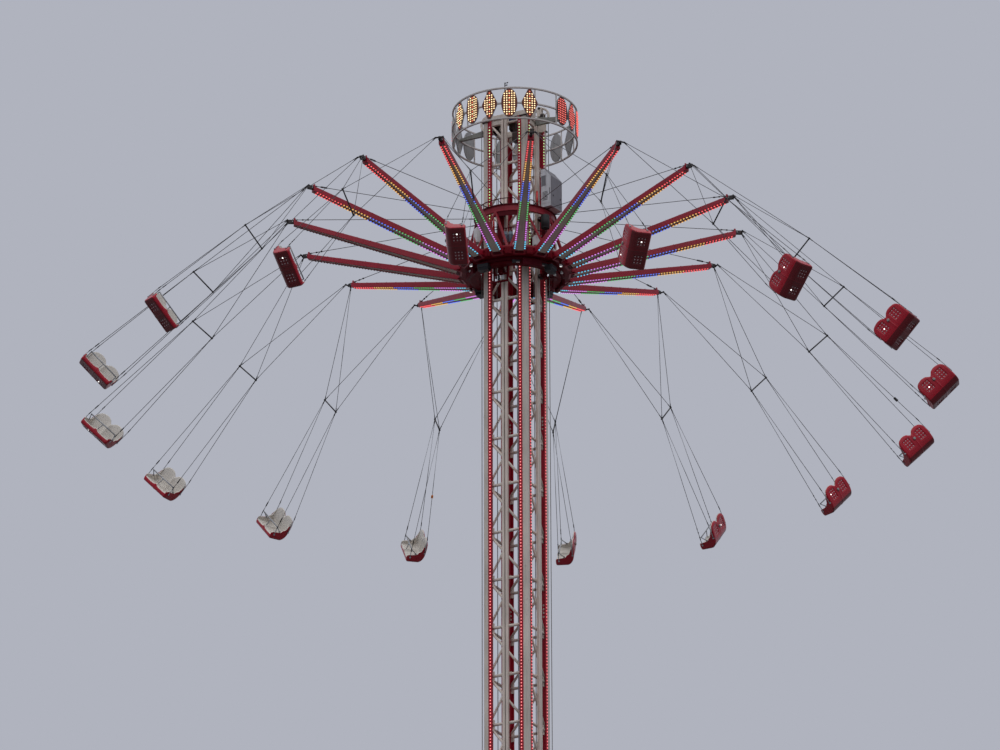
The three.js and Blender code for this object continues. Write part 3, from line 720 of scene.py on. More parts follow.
def rope(bm, points, radius, sides=8, closed=False):
    """A taut rope swept through its points, with a UV map that goes round it and along it."""
    points = [Vector(point) for point in points]
    layer = bm.loops.layers.uv.verify()
    ahead = (points[1] - points[0]).normalized()
    side = ahead.orthogonal().normalized()
    rings = []
    travel = 0.0
    for i, point in enumerate(points):
        if closed:
            ahead = (points[(i + 1) % len(points)] - points[i - 1]).normalized()
        elif 0 < i < len(points) - 1:
            ahead = (points[i + 1] - points[i - 1]).normalized()
        elif i == len(points) - 1:
            ahead = (points[i] - points[i - 1]).normalized()
        side = (side - ahead * side.dot(ahead)).normalized()
        across = ahead.cross(side)
        place = Matrix.Translation(point) @ Matrix((side, across, ahead)).transposed().to_4x4()
        ring = bmesh.ops.create_circle(bm, segments=sides, radius=radius, matrix=place)["verts"]
        travel += (point - points[i - 1]).length if i else 0.0
        rings.append((ring, travel))
    if closed:
        rings.append((rings[0][0], travel + (points[0] - points[-1]).length))
    for (ring, near), (following, far) in zip(rings, rings[1:]):
        for k in range(sides):
            after = (k + 1) % sides
            face = bm.faces.new((ring[k], ring[after], following[after], following[k]))
            face.smooth = True
            for loop, (u, v) in zip(face.loops, ((k, near), (k + 1, near), (k + 1, far), (k, far))):
                loop[layer].uv = (u / sides, v)
    if not closed:
        for ring, _ in (rings[0], rings[-1]):
            bm.faces.new(ring)


hoist_steel = rope_finish("greased hoist rope", (150, 148, 146), (80, 76, 72), 0.4, 0.5)
HOIST_RADIUS = 0.1298

bm = bmesh.new()
for half_turn in (0, 180):
    track = []
    for z, first in ((32.200, 0), (0.230, 180)):
        for step in range(13):
            angle = math.radians(first + 15 * step)
            x = SHEAVE_X + HOIST_RADIUS * math.cos(angle)
            track.append((x, SHEAVE_Y, z + HOIST_RADIUS * math.sin(angle)))
    rope(bm, [about_z(half_turn) @ Vector(point) for point in track], 0.006, closed=True)
fit_piece(bm, "hoist_ropes", "tower", hoist_steel,
          replaces=["hoist_rope_right", "hoist_rope_left"])

# Tower head. A welded frame of box beams on the posts, with two head sheaves standing on its sides
# between bolted cheek plates, brown rope housings inside, and a thin mast with a wind sensor.

HEAD_LOW = 32.0863
HEAD_HIGH = 32.1663
HEAD_SHEAVE_Z = 32.200
MAST_X = -0.015
MAST_Y = -0.315
MAST_TOP = 32.716
housing_brown = painted("rope housing brown", (58, 42, 36), (34, 26, 22), 0.5, streaks=0.3, chips=0.3)
navy = painted("navy plate", (26, 30, 84), (40, 40, 60), 0.35, streaks=0.2, chips=0.1)

bm = bmesh.new()
for half_turn in (0, 180):
    spin_half = about_z(half_turn)
    block(bm, (-POST_OUT, -POST_OUT, HEAD_LOW), (POST_OUT, -POST_IN, HEAD_HIGH), edge=0.005, place=spin_half)
    for low, high in ((-POST_IN, 0.040), (0.080, POST_IN)):
        block(bm, (POST_IN, low, HEAD_LOW), (POST_OUT, high, HEAD_HIGH), edge=0.005, place=spin_half)
for face_number in range(4):
    turn = about_z(90 * face_number)
    block(bm, (-0.264, -0.349, 32.006), (0.264, -0.303, HEAD_LOW), edge=0.003, place=turn)
    block(bm, (0.252, 0.252, 32.068), (0.382, 0.382, 32.0855), edge=0.003, place=turn, finish=housing_brown)
    for x in (-0.20, -0.06, 0.20):
        stamp(bm, bolt, turn @ at(x, -0.315, HEAD_HIGH))
for half_turn in (0, 180):
    spin_half = about_z(half_turn)
    for side in (-1, 1):
        y = SHEAVE_Y + side * 0.020
        block(bm, (0.300, y, HEAD_LOW), (0.485, y + side * 0.012, 32.158), edge=0.003, place=spin_half)
        block(bm, (0.362, y, 32.150), (0.442, y + side * 0.012, 32.352), edge=0.003, place=spin_half)
        block(bm, (0.436, y, 32.150), (0.485, y + side * 0.012, 32.235), edge=0.003, place=spin_half)
        for x, z, size in ((SHEAVE_X, HEAD_SHEAVE_Z, 1.9), (0.402, 32.332, 1.3), (0.470, 32.12, 0.9)):
            pin = at(x, SHEAVE_Y + side * 0.032, z) @ Matrix.Rotation(-side * math.pi / 2, 4, "X")
            stamp(bm, bolt, spin_half @ pin, size, finish=dark_steel)
    stamp(bm, sheave(HEAD_SHEAVE_Z), spin_half)
    for x in (-0.255, 0.020):
        block(bm, (x, -0.262, 31.925), (x + 0.108, -0.142, 32.085), edge=0.016, place=spin_half,
              finish=housing_brown, segments=2)
        block(bm, (x + 0.02, -0.264, 31.90), (x + 0.045, -0.20, 31.99), edge=0.004, place=spin_half,
              finish=dark_steel)
    block(bm, (-0.264, -0.22, 32.03), (0.264, -0.19, 32.075), edge=0.003, place=spin_half)
    rod(bm, (-0.10, -0.26, 31.97), (-0.10, -0.16, 31.97), 0.042, sides=16, place=spin_half)
    # Gusset under the sign's outrigger, welded on the end of the guide rail.
    gusset = [(0.3965, 31.905), (0.520, 31.905), (0.538, 31.925), (0.538, 32.029), (0.3965, 32.029)]
    upright = spin_half @ at(0, 0.006, 0) @ TO_FRONT
    slab(bm, gusset, 0.012, place=upright, edge=0.002)
block(bm, (0.070, -0.3535, 32.034), (0.196, -0.3485, 32.078), edge=0.001, finish=navy)
rod(bm, (MAST_X, MAST_Y, 32.156), (MAST_X, MAST_Y, MAST_TOP), 0.011, end_radius=0.008, sides=10,
    finish=dark_steel)
block(bm, (-0.032, -0.332, 32.160), (0.002, -0.298, 32.180), edge=0.003, finish=dark_steel)
for z, reach in ((32.706, 0.032), (32.668, 0.020)):
    rod(bm, (MAST_X, MAST_Y, z), (reach, MAST_Y, z), 0.006, sides=8, finish=dark_steel)
    rod(bm, (reach, MAST_Y, z - 0.008), (reach, MAST_Y, z + 0.008), 0.009, sides=8, finish=dark_steel)
fit_piece(bm, "tower_head_frame", "tower", tower_grey, replaces=["tower_head"])

# Sign ring. Three rolled square-tube hoops on upright posts, held out from the tower's head by two
# tapered outriggers that are bolted to the head's end beams.

SIGN_RADIUS = 0.962
SIGN_HOOPS = (31.800, 32.055, 32.310)
BOARD_AZIMUTHS = (-124.2, -105.7, -87.2, -68.7, -50.2, -15.7, 0.3, 16.3)

hoop_grey = painted("hoop grey paint", (196, 190, 186), (112, 102, 96), 0.42, streaks=0.25, chips=0.3)
# The outriggers are the tower's grey, painted darker here as painted shade on their undersides.
outrigger_grey_painted_shade = painted("outrigger painted shade", (136, 136, 130), (70, 66, 60), 0.5, streaks=0.4, chips=0.3)

bm = bmesh.new()
tube = 0.0128
hoop_outline = [(SIGN_RADIUS - tube, 0.003 - tube), (SIGN_RADIUS - tube + 0.003, -tube),
                (SIGN_RADIUS + tube - 0.003, -tube), (SIGN_RADIUS + tube, 0.003 - tube),
                (SIGN_RADIUS + tube, tube - 0.003), (SIGN_RADIUS + tube - 0.003, tube),
                (SIGN_RADIUS - tube + 0.003, tube), (SIGN_RADIUS - tube, tube - 0.003)]
for z in SIGN_HOOPS:
    turned(bm, hoop_outline, 72, place=at(0, 0, z), smooth=False)
for i in range(16):
    block(bm, (SIGN_RADIUS - 0.008, -0.010, 31.800), (SIGN_RADIUS + 0.008, 0.010, 32.310), edge=0.002,
          place=about_z(22.5 * i))
for half_turn in (0, 180):
    outrigger = [(0.3653, 32.030), (0.952, 32.030), (0.952, 32.070), (0.3653, 32.160)]
    upright = about_z(half_turn) @ at(0, 0.020, 0) @ TO_FRONT
    slab(bm, outrigger, 0.040, place=upright, edge=0.004, finish=outrigger_grey_painted_shade)
    block(bm, (0.366, -0.034, 32.090), (0.374, 0.034, 32.158), edge=0.002, place=about_z(half_turn),
          finish=outrigger_grey_painted_shade)
    for y in (-0.028, 0.028):
        facing = at(0.374, y, 32.13) @ TO_RIGHT @ Matrix.Scale(0.6, 4)
        stamp(bm, bolt, about_z(half_turn) @ facing)
fit_piece(bm, "sign_hoops", "tower", hoop_grey, replaces=["sign_ring"])

# Sign boards. Folded sheet trays, ovals and lozenges in turn, dark on their faces and grey behind,
# clipped to the hoops and set with small round lamps in rows.

board_brown = painted("board face brown", (104, 42, 22), (60, 34, 26), 0.5, streaks=0.3, chips=0.15)
board_maroon = painted("board face maroon", (84, 16, 18), (48, 18, 18), 0.5, streaks=0.3, chips=0.15)
board_grey = painted("board back grey", (150, 150, 150), (96, 92, 88), 0.5, streaks=0.4, chips=0.2)

BOARD_WIDE = 0.125
BOARD_TALL = 0.240
BOARD_TIP = 0.022
LOZENGE = [
    (BOARD_WIDE, -BOARD_TIP), (BOARD_WIDE, BOARD_TIP), (BOARD_TIP, BOARD_TALL), (-BOARD_TIP, BOARD_TALL),
    (-BOARD_WIDE, BOARD_TIP), (-BOARD_WIDE, -BOARD_TIP), (-BOARD_TIP, -BOARD_TALL), (BOARD_TIP, -BOARD_TALL),
]
OVAL = [(BOARD_WIDE * math.cos(a), BOARD_TALL * math.sin(a)) for a in (math.tau * k / 24 for k in range(24))]
LAMP_GRID = 0.0385


def inside(outline, x, y, margin):
    """True where a point lies inside a convex outline, with a margin to each of its sides."""
    for (x0, y0), (x1, y1) in zip(outline, outline[1:] + outline[:1]):
        across = (x1 - x0) * (y - y0) - (y1 - y0) * (x - x0)
        if across < margin * math.hypot(x1 - x0, y1 - y0):
            return False
    return True


def plain_lamp_finish(name, colour, strength, pale):
    return lamp_finish(name, [(0.0, colour), (60.0, colour)], strength=strength, pale=pale)


amber_light = plain_lamp_finish("amber sign lamps", (255, 214, 120), 1.7, 0.5)
orange_light = plain_lamp_finish("orange sign lamps", (255, 104, 40), 1.1, 0.15)
red_light = plain_lamp_finish("red sign lamps", (255, 78, 56), 1.2, 0.2)

sign_dome = dome_pattern(0.0115, 0.008)
boards = bmesh.new()
lamps = lamp_bmesh()
FIRST_RED_BOARD = 5
for half_turn in (0, 180):
    for index, azimuth in enumerate(BOARD_AZIMUTHS):
        outline = OVAL if index % 2 else LOZENGE
        is_red = index >= FIRST_RED_BOARD
        # The board's own x runs along the hoop, its y up, and its thickness outwards.
        lying = Matrix(((0, 0, 1, 0.9555), (1, 0, 0, 0), (0, 1, 0, SIGN_HOOPS[1]), (0, 0, 0, 1)))
        place = about_z(azimuth + half_turn) @ lying
        for face in slab(boards, outline, 0.0205, place=place, edge=0.002, finish=board_grey):
            if face.normal.dot(place.to_3x3() @ Vector((0, 0, 1))) > 0.9:
                face.material_index = number_of(board_maroon if is_red else None)
        for row in range(-6, 7):
            for column in range(-3, 4):
                x = LAMP_GRID * column
                y = LAMP_GRID * row
                if inside(outline, x, y, 0.011):
                    light = orange_light if column == 0 and row % 2 else None
                    stamp(lamps, sign_dome, place @ at(x, y, 0.0205), finish=red_light if is_red else light)
fit_piece(boards, "sign_boards", "tower", board_brown)
fit_piece(lamps, "sign_lamps", "tower", amber_light, recalculate=False)

# Carriage. A crimson welded frame that climbs the tower: three guide posts with rollers on the
# rails, webs out to a round slewing collar, and four slewing drives bolted under the collar's lip.

HUB_LOW = 29.598
HUB_HIGH = 29.718

crimson = painted("crimson paint", (140, 20, 38), (62, 14, 20), 0.42, streaks=0.35, chips=0.2, coat=0.08,
                  shine=0.28)
dark_crimson = painted("dark crimson paint", (82, 6, 20), (44, 6, 12), 0.5, streaks=0.3, chips=0.1,
                       shine=0.1)
# The hub ring's crimson is darkened as painted shade under the arms.
hub_crimson_painted_shade = painted("hub crimson painted shade", (114, 8, 26), (56, 8, 16), 0.5, streaks=0.25, chips=0.1,
                      shine=0.1)
# The carriage's near-black crimson is painted shade under and inside the hub.
carriage_crimson_painted_shade = painted("carriage crimson painted shade", (94, 8, 20), (52, 8, 14), 0.55, streaks=0.25, chips=0.1,
                        shine=0.08)
motor_black = painted("motor black", (36, 36, 40), (70, 62, 56), 0.45, streaks=0.4, chips=0.2)
tyre_black = painted("roller tyre", (26, 25, 25), (70, 66, 62), 0.75, streaks=0.2, chips=0.0)
housing_white = painted("lamp housing white", (206, 208, 208), (140, 134, 126), 0.4, streaks=0.2, chips=0.05)
lens_grey = painted("flood lamp lens", (224, 228, 232), (170, 170, 168), 0.12, streaks=0.05, chips=0.0,
                    coat=0.6, shine=0.5)
lens_bright = painted("lit flood lamp lens", (240, 242, 244), (200, 200, 198), 0.12, streaks=0.0, chips=0.0,
                      coat=0.6, shine=0.5)
lit_shader = lens_bright.node_tree.nodes["Principled BSDF"]
feed(lens_bright.node_tree, lit_shader, {"Emission Color": tone(255, 252, 246), "Emission Strength": 0.9})


def flood_lamp(bm, place, body, lens, wide=0.046, deep=0.036, tall=0.034):
    """A small flood lamp that hangs by a bent strap, with its lens downwards."""
    block(bm, (-deep / 2, -wide / 2, -tall), (deep / 2, wide / 2, -0.006), edge=0.004, place=place,
          finish=body)
    x = deep / 2 - 0.004
    y = wide / 2 - 0.004
    block(bm, (-x, -y, -tall - 0.0015), (x, y, -tall + 0.002), edge=0.001, place=place, finish=lens)
    for side in (-1, 1):
        y = side * (wide / 2 + 0.002)
        block(bm, (-0.006, y - 0.0015, -tall * 0.7), (0.006, y + 0.0015, 0.002), place=place, finish=body)


bm = bmesh.new()
collar = [(0.575, 29.508), (0.690, 29.508), (0.695, 29.513),
          (0.695, 29.693), (0.690, 29.698), (0.575, 29.698)]
turned(bm, collar, 72, smooth=False)
turned(bm, [(0.600, 29.5475), (0.726, 29.5475), (0.730, 29.5515), (0.730, 29.5935), (0.726, 29.5975),
            (0.600, 29.5975)], 72, finish=dark_crimson, smooth=False)
for i in range(36):
    stamp(bm, bolt, at(*polar(0.7125, 10 * i, 29.5475)) @ TO_GROUND, 0.7)
roller_outline = [(0.012, -0.040), (0.030, -0.040), (0.032, -0.034), (0.0392, -0.030), (0.040, -0.024),
                  (0.040, 0.024), (0.0392, 0.030), (0.032, 0.034), (0.030, 0.040), (0.012, 0.040)]
for side_number in (0, 1, 3):
    turn = about_z(90 * side_number)
    block(bm, (0.470, -0.040, 29.438), (0.525, 0.040, 30.490), edge=0.005, place=turn)
    block(bm, (0.520, -0.030, 29.518), (0.605, 0.030, 29.678), edge=0.004, place=turn)
    for y in (-0.052, 0.040):
        block(bm, (0.480, y, 29.60), (0.515, y + 0.012, 30.40), edge=0.003, place=turn)
    for z in (29.488, 30.440):
        across = turn @ at(0.4355, 0, z) @ TO_FRONT
        turned(bm, roller_outline, 28, place=across, finish=tyre_black)
        rod(bm, (0.4355, -0.056, z), (0.4355, 0.056, z), 0.012, sides=12, finish=zinc, place=turn)
        for y in (-0.054, 0.044):
            block(bm, (0.420, y, z - 0.025), (0.500, y + 0.010, z + 0.025), edge=0.003, place=turn,
                  finish=dark_crimson)
    if side_number:
        # Open frame of flat bar round the lower rollers, with their pressure sensor in it.
        for low, high in ((-0.125, -0.098), (0.098, 0.125)):
            block(bm, (0.494, low, 29.290), (0.514, high, 29.560), edge=0.003, place=turn)
        for low, high in ((29.290, 29.318), (29.410, 29.432), (29.534, 29.560)):
            block(bm, (0.492, -0.127, low), (0.516, 0.127, high), edge=0.003, place=turn)
        block(bm, (0.486, -0.050, 29.318), (0.512, -0.020, 29.410), edge=0.004, place=turn,
              finish=motor_black)
        block(bm, (0.489, 0.010, 29.330), (0.515, 0.060, 29.402), edge=0.004, place=turn,
              finish=housing_white)
    else:
        block(bm, (0.494, 0.130, 29.345), (0.514, 0.285, 29.372), edge=0.003, place=turn)
        block(bm, (0.494, 0.130, 29.372), (0.512, 0.156, 29.520), edge=0.003, place=turn)
        block(bm, (0.494, 0.258, 29.372), (0.512, 0.285, 29.520), edge=0.003, place=turn)
        block(bm, (0.494, 0.130, 29.500), (0.600, 0.285, 29.520), edge=0.003, place=turn,
              finish=dark_crimson)
for side_number in range(4):
    # Slewing drive: a gearbox bolted under the lip, with a short finned motor hung from it.
    turn = about_z(90 * side_number)
    block(bm, (0.612, -0.283, 29.486), (0.752, -0.097, 29.5570), edge=0.010, place=turn, finish=motor_black,
          segments=2)
    block(bm, (0.604, -0.288, 29.540), (0.758, -0.092, 29.5575), edge=0.003, place=turn, finish=dark_crimson)
    for k in range(6):
        y = -0.272 + 0.030 * k
        block(bm, (0.628, y, 29.440), (0.742, y + 0.018, 29.488), edge=0.003, place=turn, finish=motor_black)
    block(bm, (0.636, -0.274, 29.444), (0.734, -0.104, 29.486), edge=0.004, place=turn, finish=motor_black)
    for x, y in ((0.622, -0.275), (0.742, -0.275), (0.622, -0.105), (0.742, -0.105)):
        stamp(bm, bolt, turn @ at(x, y, 29.540) @ TO_GROUND, 0.6)
    # Folded cover over the gearing on the lip's rim.
    cover = about_z(90 * side_number - 43.5)
    block(bm, (0.700, -0.157, 29.462), (0.752, 0.157, 29.575), edge=0.008, place=cover, finish=dark_crimson,
          segments=2)
    for y in (-0.12, 0.0, 0.12):
        stamp(bm, bolt, cover @ at(0.752, y, 29.520) @ TO_RIGHT, 0.5)
for radius, azimuth, high in ((0.748, -130.1, 29.560), (0.735, 9.7, 29.566), (0.652, 2.8, 29.512)):
    hung = about_z(azimuth) @ at(radius, 0, high)
    block(bm, (-0.060, -0.014, -0.008), (0.010, 0.014, 0.0), edge=0.002, place=hung, finish=dark_crimson)
    flood_lamp(bm, hung, housing_white, lens_grey)
for azimuth, side in ((-109.0, 1), (-60.7, -1), (-27.7, 1), (71.0, 1), (119.3, -1), (152.3, 1)):
    hung = about_z(azimuth) @ at(0.716, 0, 29.5470)
    flood_lamp(bm, hung, motor_black, lens_grey, wide=0.062, deep=0.040, tall=0.040)
    block(bm, (-0.020, side * 0.034, -0.046), (0.018, side * 0.088, 0.0005), edge=0.004, place=hung,
          finish=motor_black)
# The carriage's main finish is crimson darkened as painted shade.
fit_piece(bm, "carriage", "carriage", carriage_crimson_painted_shade, replaces=["carriage_frame"])

# Hub. The rotor's ring: a deep box section rolled from plate, with a dark cover panel under each
# arm's root, bolts along its face, and a few flood lamps hung under it.

HUB_RADIUS = 0.860
FIRST_ARM = 7.74
ARM_STEP = 22.5

bm = bmesh.new()
hub_outline = [
    (0.704, HUB_LOW), (0.856, HUB_LOW), (HUB_RADIUS, HUB_LOW + 0.004), (HUB_RADIUS, HUB_HIGH - 0.004),
    (0.856, HUB_HIGH), (0.704, HUB_HIGH), (0.700, HUB_HIGH - 0.004), (0.700, HUB_LOW + 0.004),
]
turned(bm, hub_outline, 96, smooth=False)
for i in range(16):
    turn = about_z(FIRST_ARM + ARM_STEP * i)
    next_gap = about_z(FIRST_ARM + ARM_STEP * (i + 0.5))
    panel = [(0.832, -0.112), (0.905, -0.104), (0.905, 0.104), (0.832, 0.112)]
    tilt = turn @ at(0, 0, 29.567) @ Matrix.Rotation(-0.06, 4, "Y")
    slab(bm, panel, 0.010, place=tilt, finish=dark_crimson, edge=0.002)
    block(bm, (0.858, -0.070, HUB_LOW + 0.002), (0.892, 0.070, HUB_HIGH - 0.020), edge=0.006, place=turn,
          finish=dark_crimson)
    block(bm, (HUB_RADIUS, -0.012, HUB_LOW + 0.012), (0.868, 0.012, HUB_HIGH - 0.010), edge=0.002,
          place=next_gap)
    for side in (-1, 1):
        for z in (29.625, 29.690):
            stamp(bm, bolt, turn @ at(HUB_RADIUS, side * 0.115, z) @ TO_RIGHT, 0.8)
for azimuth in (-116.0, -9.6, 64.0, 170.4):
    hung = about_z(azimuth) @ at(0.850, 0, 29.560)
    block(bm, (-0.020, -0.014, -0.006), (0.010, 0.014, 0.045), edge=0.002, place=hung, finish=dark_crimson)
    flood_lamp(bm, hung, housing_white, lens_bright)
# The ring's darker crimson is painted shade under the arms.
fit_piece(bm, "hub_ring", "rotor", hub_crimson_painted_shade)

# Arms. Tapered steel box arms, crimson outside, with a raised flange along the top and a
# grey-brown sheet set into the underside between the two rows of lamps.

ROOT_RADIUS = 0.868
ARM_RISE = 0.742 / 2.632
ARM_START = 0.820
ARM_END = 3.400

arm_red = painted("arm crimson paint", (158, 18, 44), (84, 16, 28), 0.4, streaks=0.25, chips=0.25, coat=0.1,
                  shine=0.3)
# The grey-brown underside sheet is given a much paler colour: painted light on a face that looks down.
panel_taupe_painted_light = painted("underside sheet painted light", (230, 212, 198), (170, 154, 142), 0.6, streaks=0.25, chips=0.1)


def arm_middle(radius):
    return 29.658 + (radius - ROOT_RADIUS) * ARM_RISE


def arm_width(radius):
    share = (radius - ARM_START) / (ARM_END - ARM_START)
    return 0.190 + (0.090 - 0.190) * share


def arm_depth(radius):
    share = (radius - ARM_START) / (ARM_END - ARM_START)
    return 0.110 + (0.075 - 0.110) * share


def arm_pattern():
    """One arm along +X: the tapered box, its flange, its sunk underside and its head."""
    bm = bmesh.new()
    bmesh.ops.create_cube(bm, size=1.0)
    for corner in bm.verts:
        radius = ARM_START if corner.co.x < 0 else ARM_END
        width = arm_width(radius)
        depth = arm_depth(radius)
        corner.co = (radius, corner.co.y * width, arm_middle(radius) + corner.co.z * depth)
    bmesh.ops.subdivide_edges(bm, edges=[e for e in bm.edges if abs(e.verts[0].co.x - e.verts[1].co.x) > 1],
                              cuts=7, use_grid_fill=True)
    lengthways = [e for e in bm.edges if abs(e.verts[0].co.x - e.verts[1].co.x) > 0.1]
    bmesh.ops.bevel(bm, geom=lengthways, offset=0.005, offset_type="OFFSET", affect="EDGES", segments=2,
                    profile=0.5, material=-1)
    under = [f for f in bm.faces if f.normal.z < -0.9]
    bmesh.ops.inset_region(bm, faces=under, thickness=0.026, depth=0.0, use_even_offset=True)
    bmesh.ops.inset_region(bm, faces=under, thickness=0.002, depth=-0.010, use_even_offset=True)
    for face in under:
        face.material_index = number_of(panel_taupe_painted_light)
    top = [f for f in bm.faces if f.normal.z > 0.9]
    bmesh.ops.inset_region(bm, faces=top, thickness=0.012, depth=0.0, use_even_offset=True)
    bmesh.ops.inset_region(bm, faces=top, thickness=0.003, depth=-0.008, use_even_offset=True)
    # Head: two dark cheek plates with red lugs above, and the bar that the swings hang from.
    for side in (-1, 1):
        block(bm, (3.352, side * 0.013, 30.366), (3.488, side * 0.022, 30.424), edge=0.002,
              finish=dark_steel)
        block(bm, (3.372, side * 0.011, 30.404), (3.400, side * 0.024, 30.452), edge=0.003)
    block(bm, (3.370, -0.014, 30.372), (3.470, 0.014, 30.408), edge=0.003, finish=dark_steel)
    rod(bm, (3.500, -0.0475, 30.400), (3.500, 0.0475, 30.400), 0.0115, sides=12, finish=dark_steel)
    block(bm, (3.478, -0.016, 30.384), (3.508, 0.016, 30.416), edge=0.003, finish=dark_steel)
    rod(bm, (3.420, -0.030, 30.395), (3.420, 0.030, 30.395), 0.008, sides=8, finish=zinc)
    lean = math.atan(ARM_RISE)
    for k in range(12):
        radius = 0.96 + 0.21 * k
        for side in (-1, 1):
            z = arm_middle(radius) + arm_depth(radius) / 2
            place = at(radius, side * (arm_width(radius) / 2 - 0.0085), z)
            stamp(bm, bolt, place @ Matrix.Rotation(-lean, 4, "Y"), 0.42)
    return pattern_of(bm, "arm")


arm = arm_pattern()
for quarter in range(4):
    bm = bmesh.new()
    for i in range(4):
        stamp(bm, arm, about_z(FIRST_ARM + ARM_STEP * (4 * quarter + i)))
    fit_piece(bm, f"arm_quarter_{quarter + 1}", "rotor", arm_red,
              replaces=[f"rotor_arms_{quarter + 1}"], recalculate=False)

# Arm lamps. Fifty clear domes along each edge of every arm's underside, in bands of one colour:
# cyan at the hub, then violet, green, blue, amber, and red at the tip. Two arms are unlit.

ARM_LAMPS = 50
ARM_LAMP_PITCH = 0.0484
ARM_LAMP_FIRST = 0.965
UNLIT_ARMS = (8, 9)

arm_light = lamp_finish(
    "arm lamps",
    [
        (0.900, (50, 176, 214)),
        (1.152, (190, 96, 206)),
        (1.599, (16, 156, 66)),
        (2.035, (26, 84, 214)),
        (2.473, (206, 152, 44)),
        (2.909, (232, 40, 48)),
        (3.500, (232, 40, 48)),
    ],
    strength=1.6, pale=0.12, along="radius",
)
unlit_lamp = painted("unlit lamp domes", (158, 146, 138), (90, 80, 74), 0.2, streaks=0.1, chips=0.0)

arm_dome = dome_pattern(0.0155, 0.011)
under_slope = ARM_RISE + 0.035 / 2 / (ARM_END - ARM_START)
row = lamp_bmesh()
for i in range(ARM_LAMPS):
    radius = ARM_LAMP_FIRST + ARM_LAMP_PITCH * i
    z = arm_middle(radius) - arm_depth(radius) / 2
    tilt = Matrix.Rotation(-math.atan(under_slope), 4, "Y") @ TO_GROUND
    for side in (-1, 1):
        y = side * (arm_width(radius) / 2 - 0.0165)
        stamp(row, arm_dome, at(radius, y, z + 0.0005) @ tilt)
lamp_row = keep_mesh(row, "arm_lamp_row")
lit = lamp_bmesh()
dark = bmesh.new()
for i in range(16):
    stamp(dark if i in UNLIT_ARMS else lit, lamp_row, about_z(FIRST_ARM + ARM_STEP * i))
fit_piece(lit, "arm_lamps", "rotor", arm_light, recalculate=False)
fit_piece(dark, "arm_lamps_unlit", "rotor", unlit_lamp, recalculate=False)

# Cage. Eight pairs of leaning square tubes on a low ring carry the deep band that the arms' stays
# pull on. Bent dark handrails run along the band, and boxes, a speaker and motors hang inside it.

CAGE_LOW = 29.7383
BAND_LOW = 30.415
BAND_HIGH = 30.525
BAND_IN = 0.584
BAND_OUT = 0.622
BEACON_RADIUS = 0.603
MOTOR_RADIUS = 0.634
HANDRAIL_RADIUS = 0.604

speaker_black = painted("speaker black", (30, 30, 33), (66, 62, 58), 0.6, streaks=0.2, chips=0.1)
motor_blue = painted("motor grey-blue", (104, 116, 132), (70, 68, 66), 0.45, streaks=0.3, chips=0.2)
beacon_red = painted("beacon red", (190, 22, 26), (90, 20, 20), 0.2, streaks=0.1, chips=0.0, coat=0.4)

bm = bmesh.new()
turned(bm, [(0.770, 29.7183), (0.810, 29.7183), (0.810, 29.7583), (0.770, 29.7583)], 64, smooth=False)
band = [
    (BAND_IN, BAND_LOW), (BAND_OUT, BAND_LOW), (BAND_OUT, BAND_LOW + 0.018), (0.618, BAND_LOW + 0.022),
    (0.618, BAND_HIGH - 0.022), (BAND_OUT, BAND_HIGH - 0.018), (BAND_OUT, BAND_HIGH), (BAND_IN, BAND_HIGH),
]
turned(bm, band, 64, smooth=False)
eighths = [math.tau * k / 8 for k in range(8)]
rod_ring = [(0.606 + 0.007 * math.cos(a), 30.127 + 0.007 * math.sin(a)) for a in eighths]
turned(bm, rod_ring, 64, finish=dark_crimson)
for i in range(8):
    foot = FIRST_ARM + (i + 0.25) * 2 * ARM_STEP
    for side in (-1, 1):
        low = polar(0.790, foot + side * 1.6, CAGE_LOW)
        high = polar(0.602, foot + side * ARM_STEP, 30.430)
        half = (high - low).length / 2
        block(bm, (-0.017, -0.017, -half), (0.017, 0.017, half), edge=0.004, place=midway(low, high))
    block(bm, (0.765, -0.055, 29.7183), (0.815, 0.055, 29.7283), edge=0.002, place=about_z(foot),
          finish=dark_crimson)
    plate = about_z(foot + ARM_STEP)
    block(bm, (0.580, -0.055, BAND_LOW - 0.030), (0.588, 0.055, BAND_HIGH - 0.020), edge=0.002, place=plate)
# Sheet fascia below the band, bent to its curve.
for azimuth in range(-95, -61, 5):
    block(bm, (0.606, -0.0275, 30.335), (0.612, 0.0275, 30.420), edge=0.001, place=about_z(azimuth + 2.5),
          finish=dark_crimson)
# Handrail: bent tube on short posts, with its ends turned down to the band.
for first, last, height in ((-128, -64, 0.105), (-52, -34, 0.085), (34, 150, 0.105), (164, 214, 0.085)):
    steps = max(2, round((last - first) / 8))
    top = BAND_HIGH + height
    angles = [first + (last - first) * (k + 0.5) / (steps + 1) for k in range(steps + 1)]
    track = [polar(HANDRAIL_RADIUS, first, BAND_HIGH - 0.004), polar(HANDRAIL_RADIUS, first, top - 0.02)]
    track += [polar(HANDRAIL_RADIUS, angle, top) for angle in angles]
    track += [polar(HANDRAIL_RADIUS, last, top - 0.02), polar(HANDRAIL_RADIUS, last, BAND_HIGH - 0.004)]
    for start, end in zip(track, track[1:]):
        rod(bm, start, end, 0.0075, sides=8, finish=dark_crimson)
    for angle in angles[1:steps:2]:
        low = polar(HANDRAIL_RADIUS, angle, BAND_HIGH - 0.004)
        rod(bm, low, polar(HANDRAIL_RADIUS, angle, top), 0.006, sides=8, finish=dark_crimson)
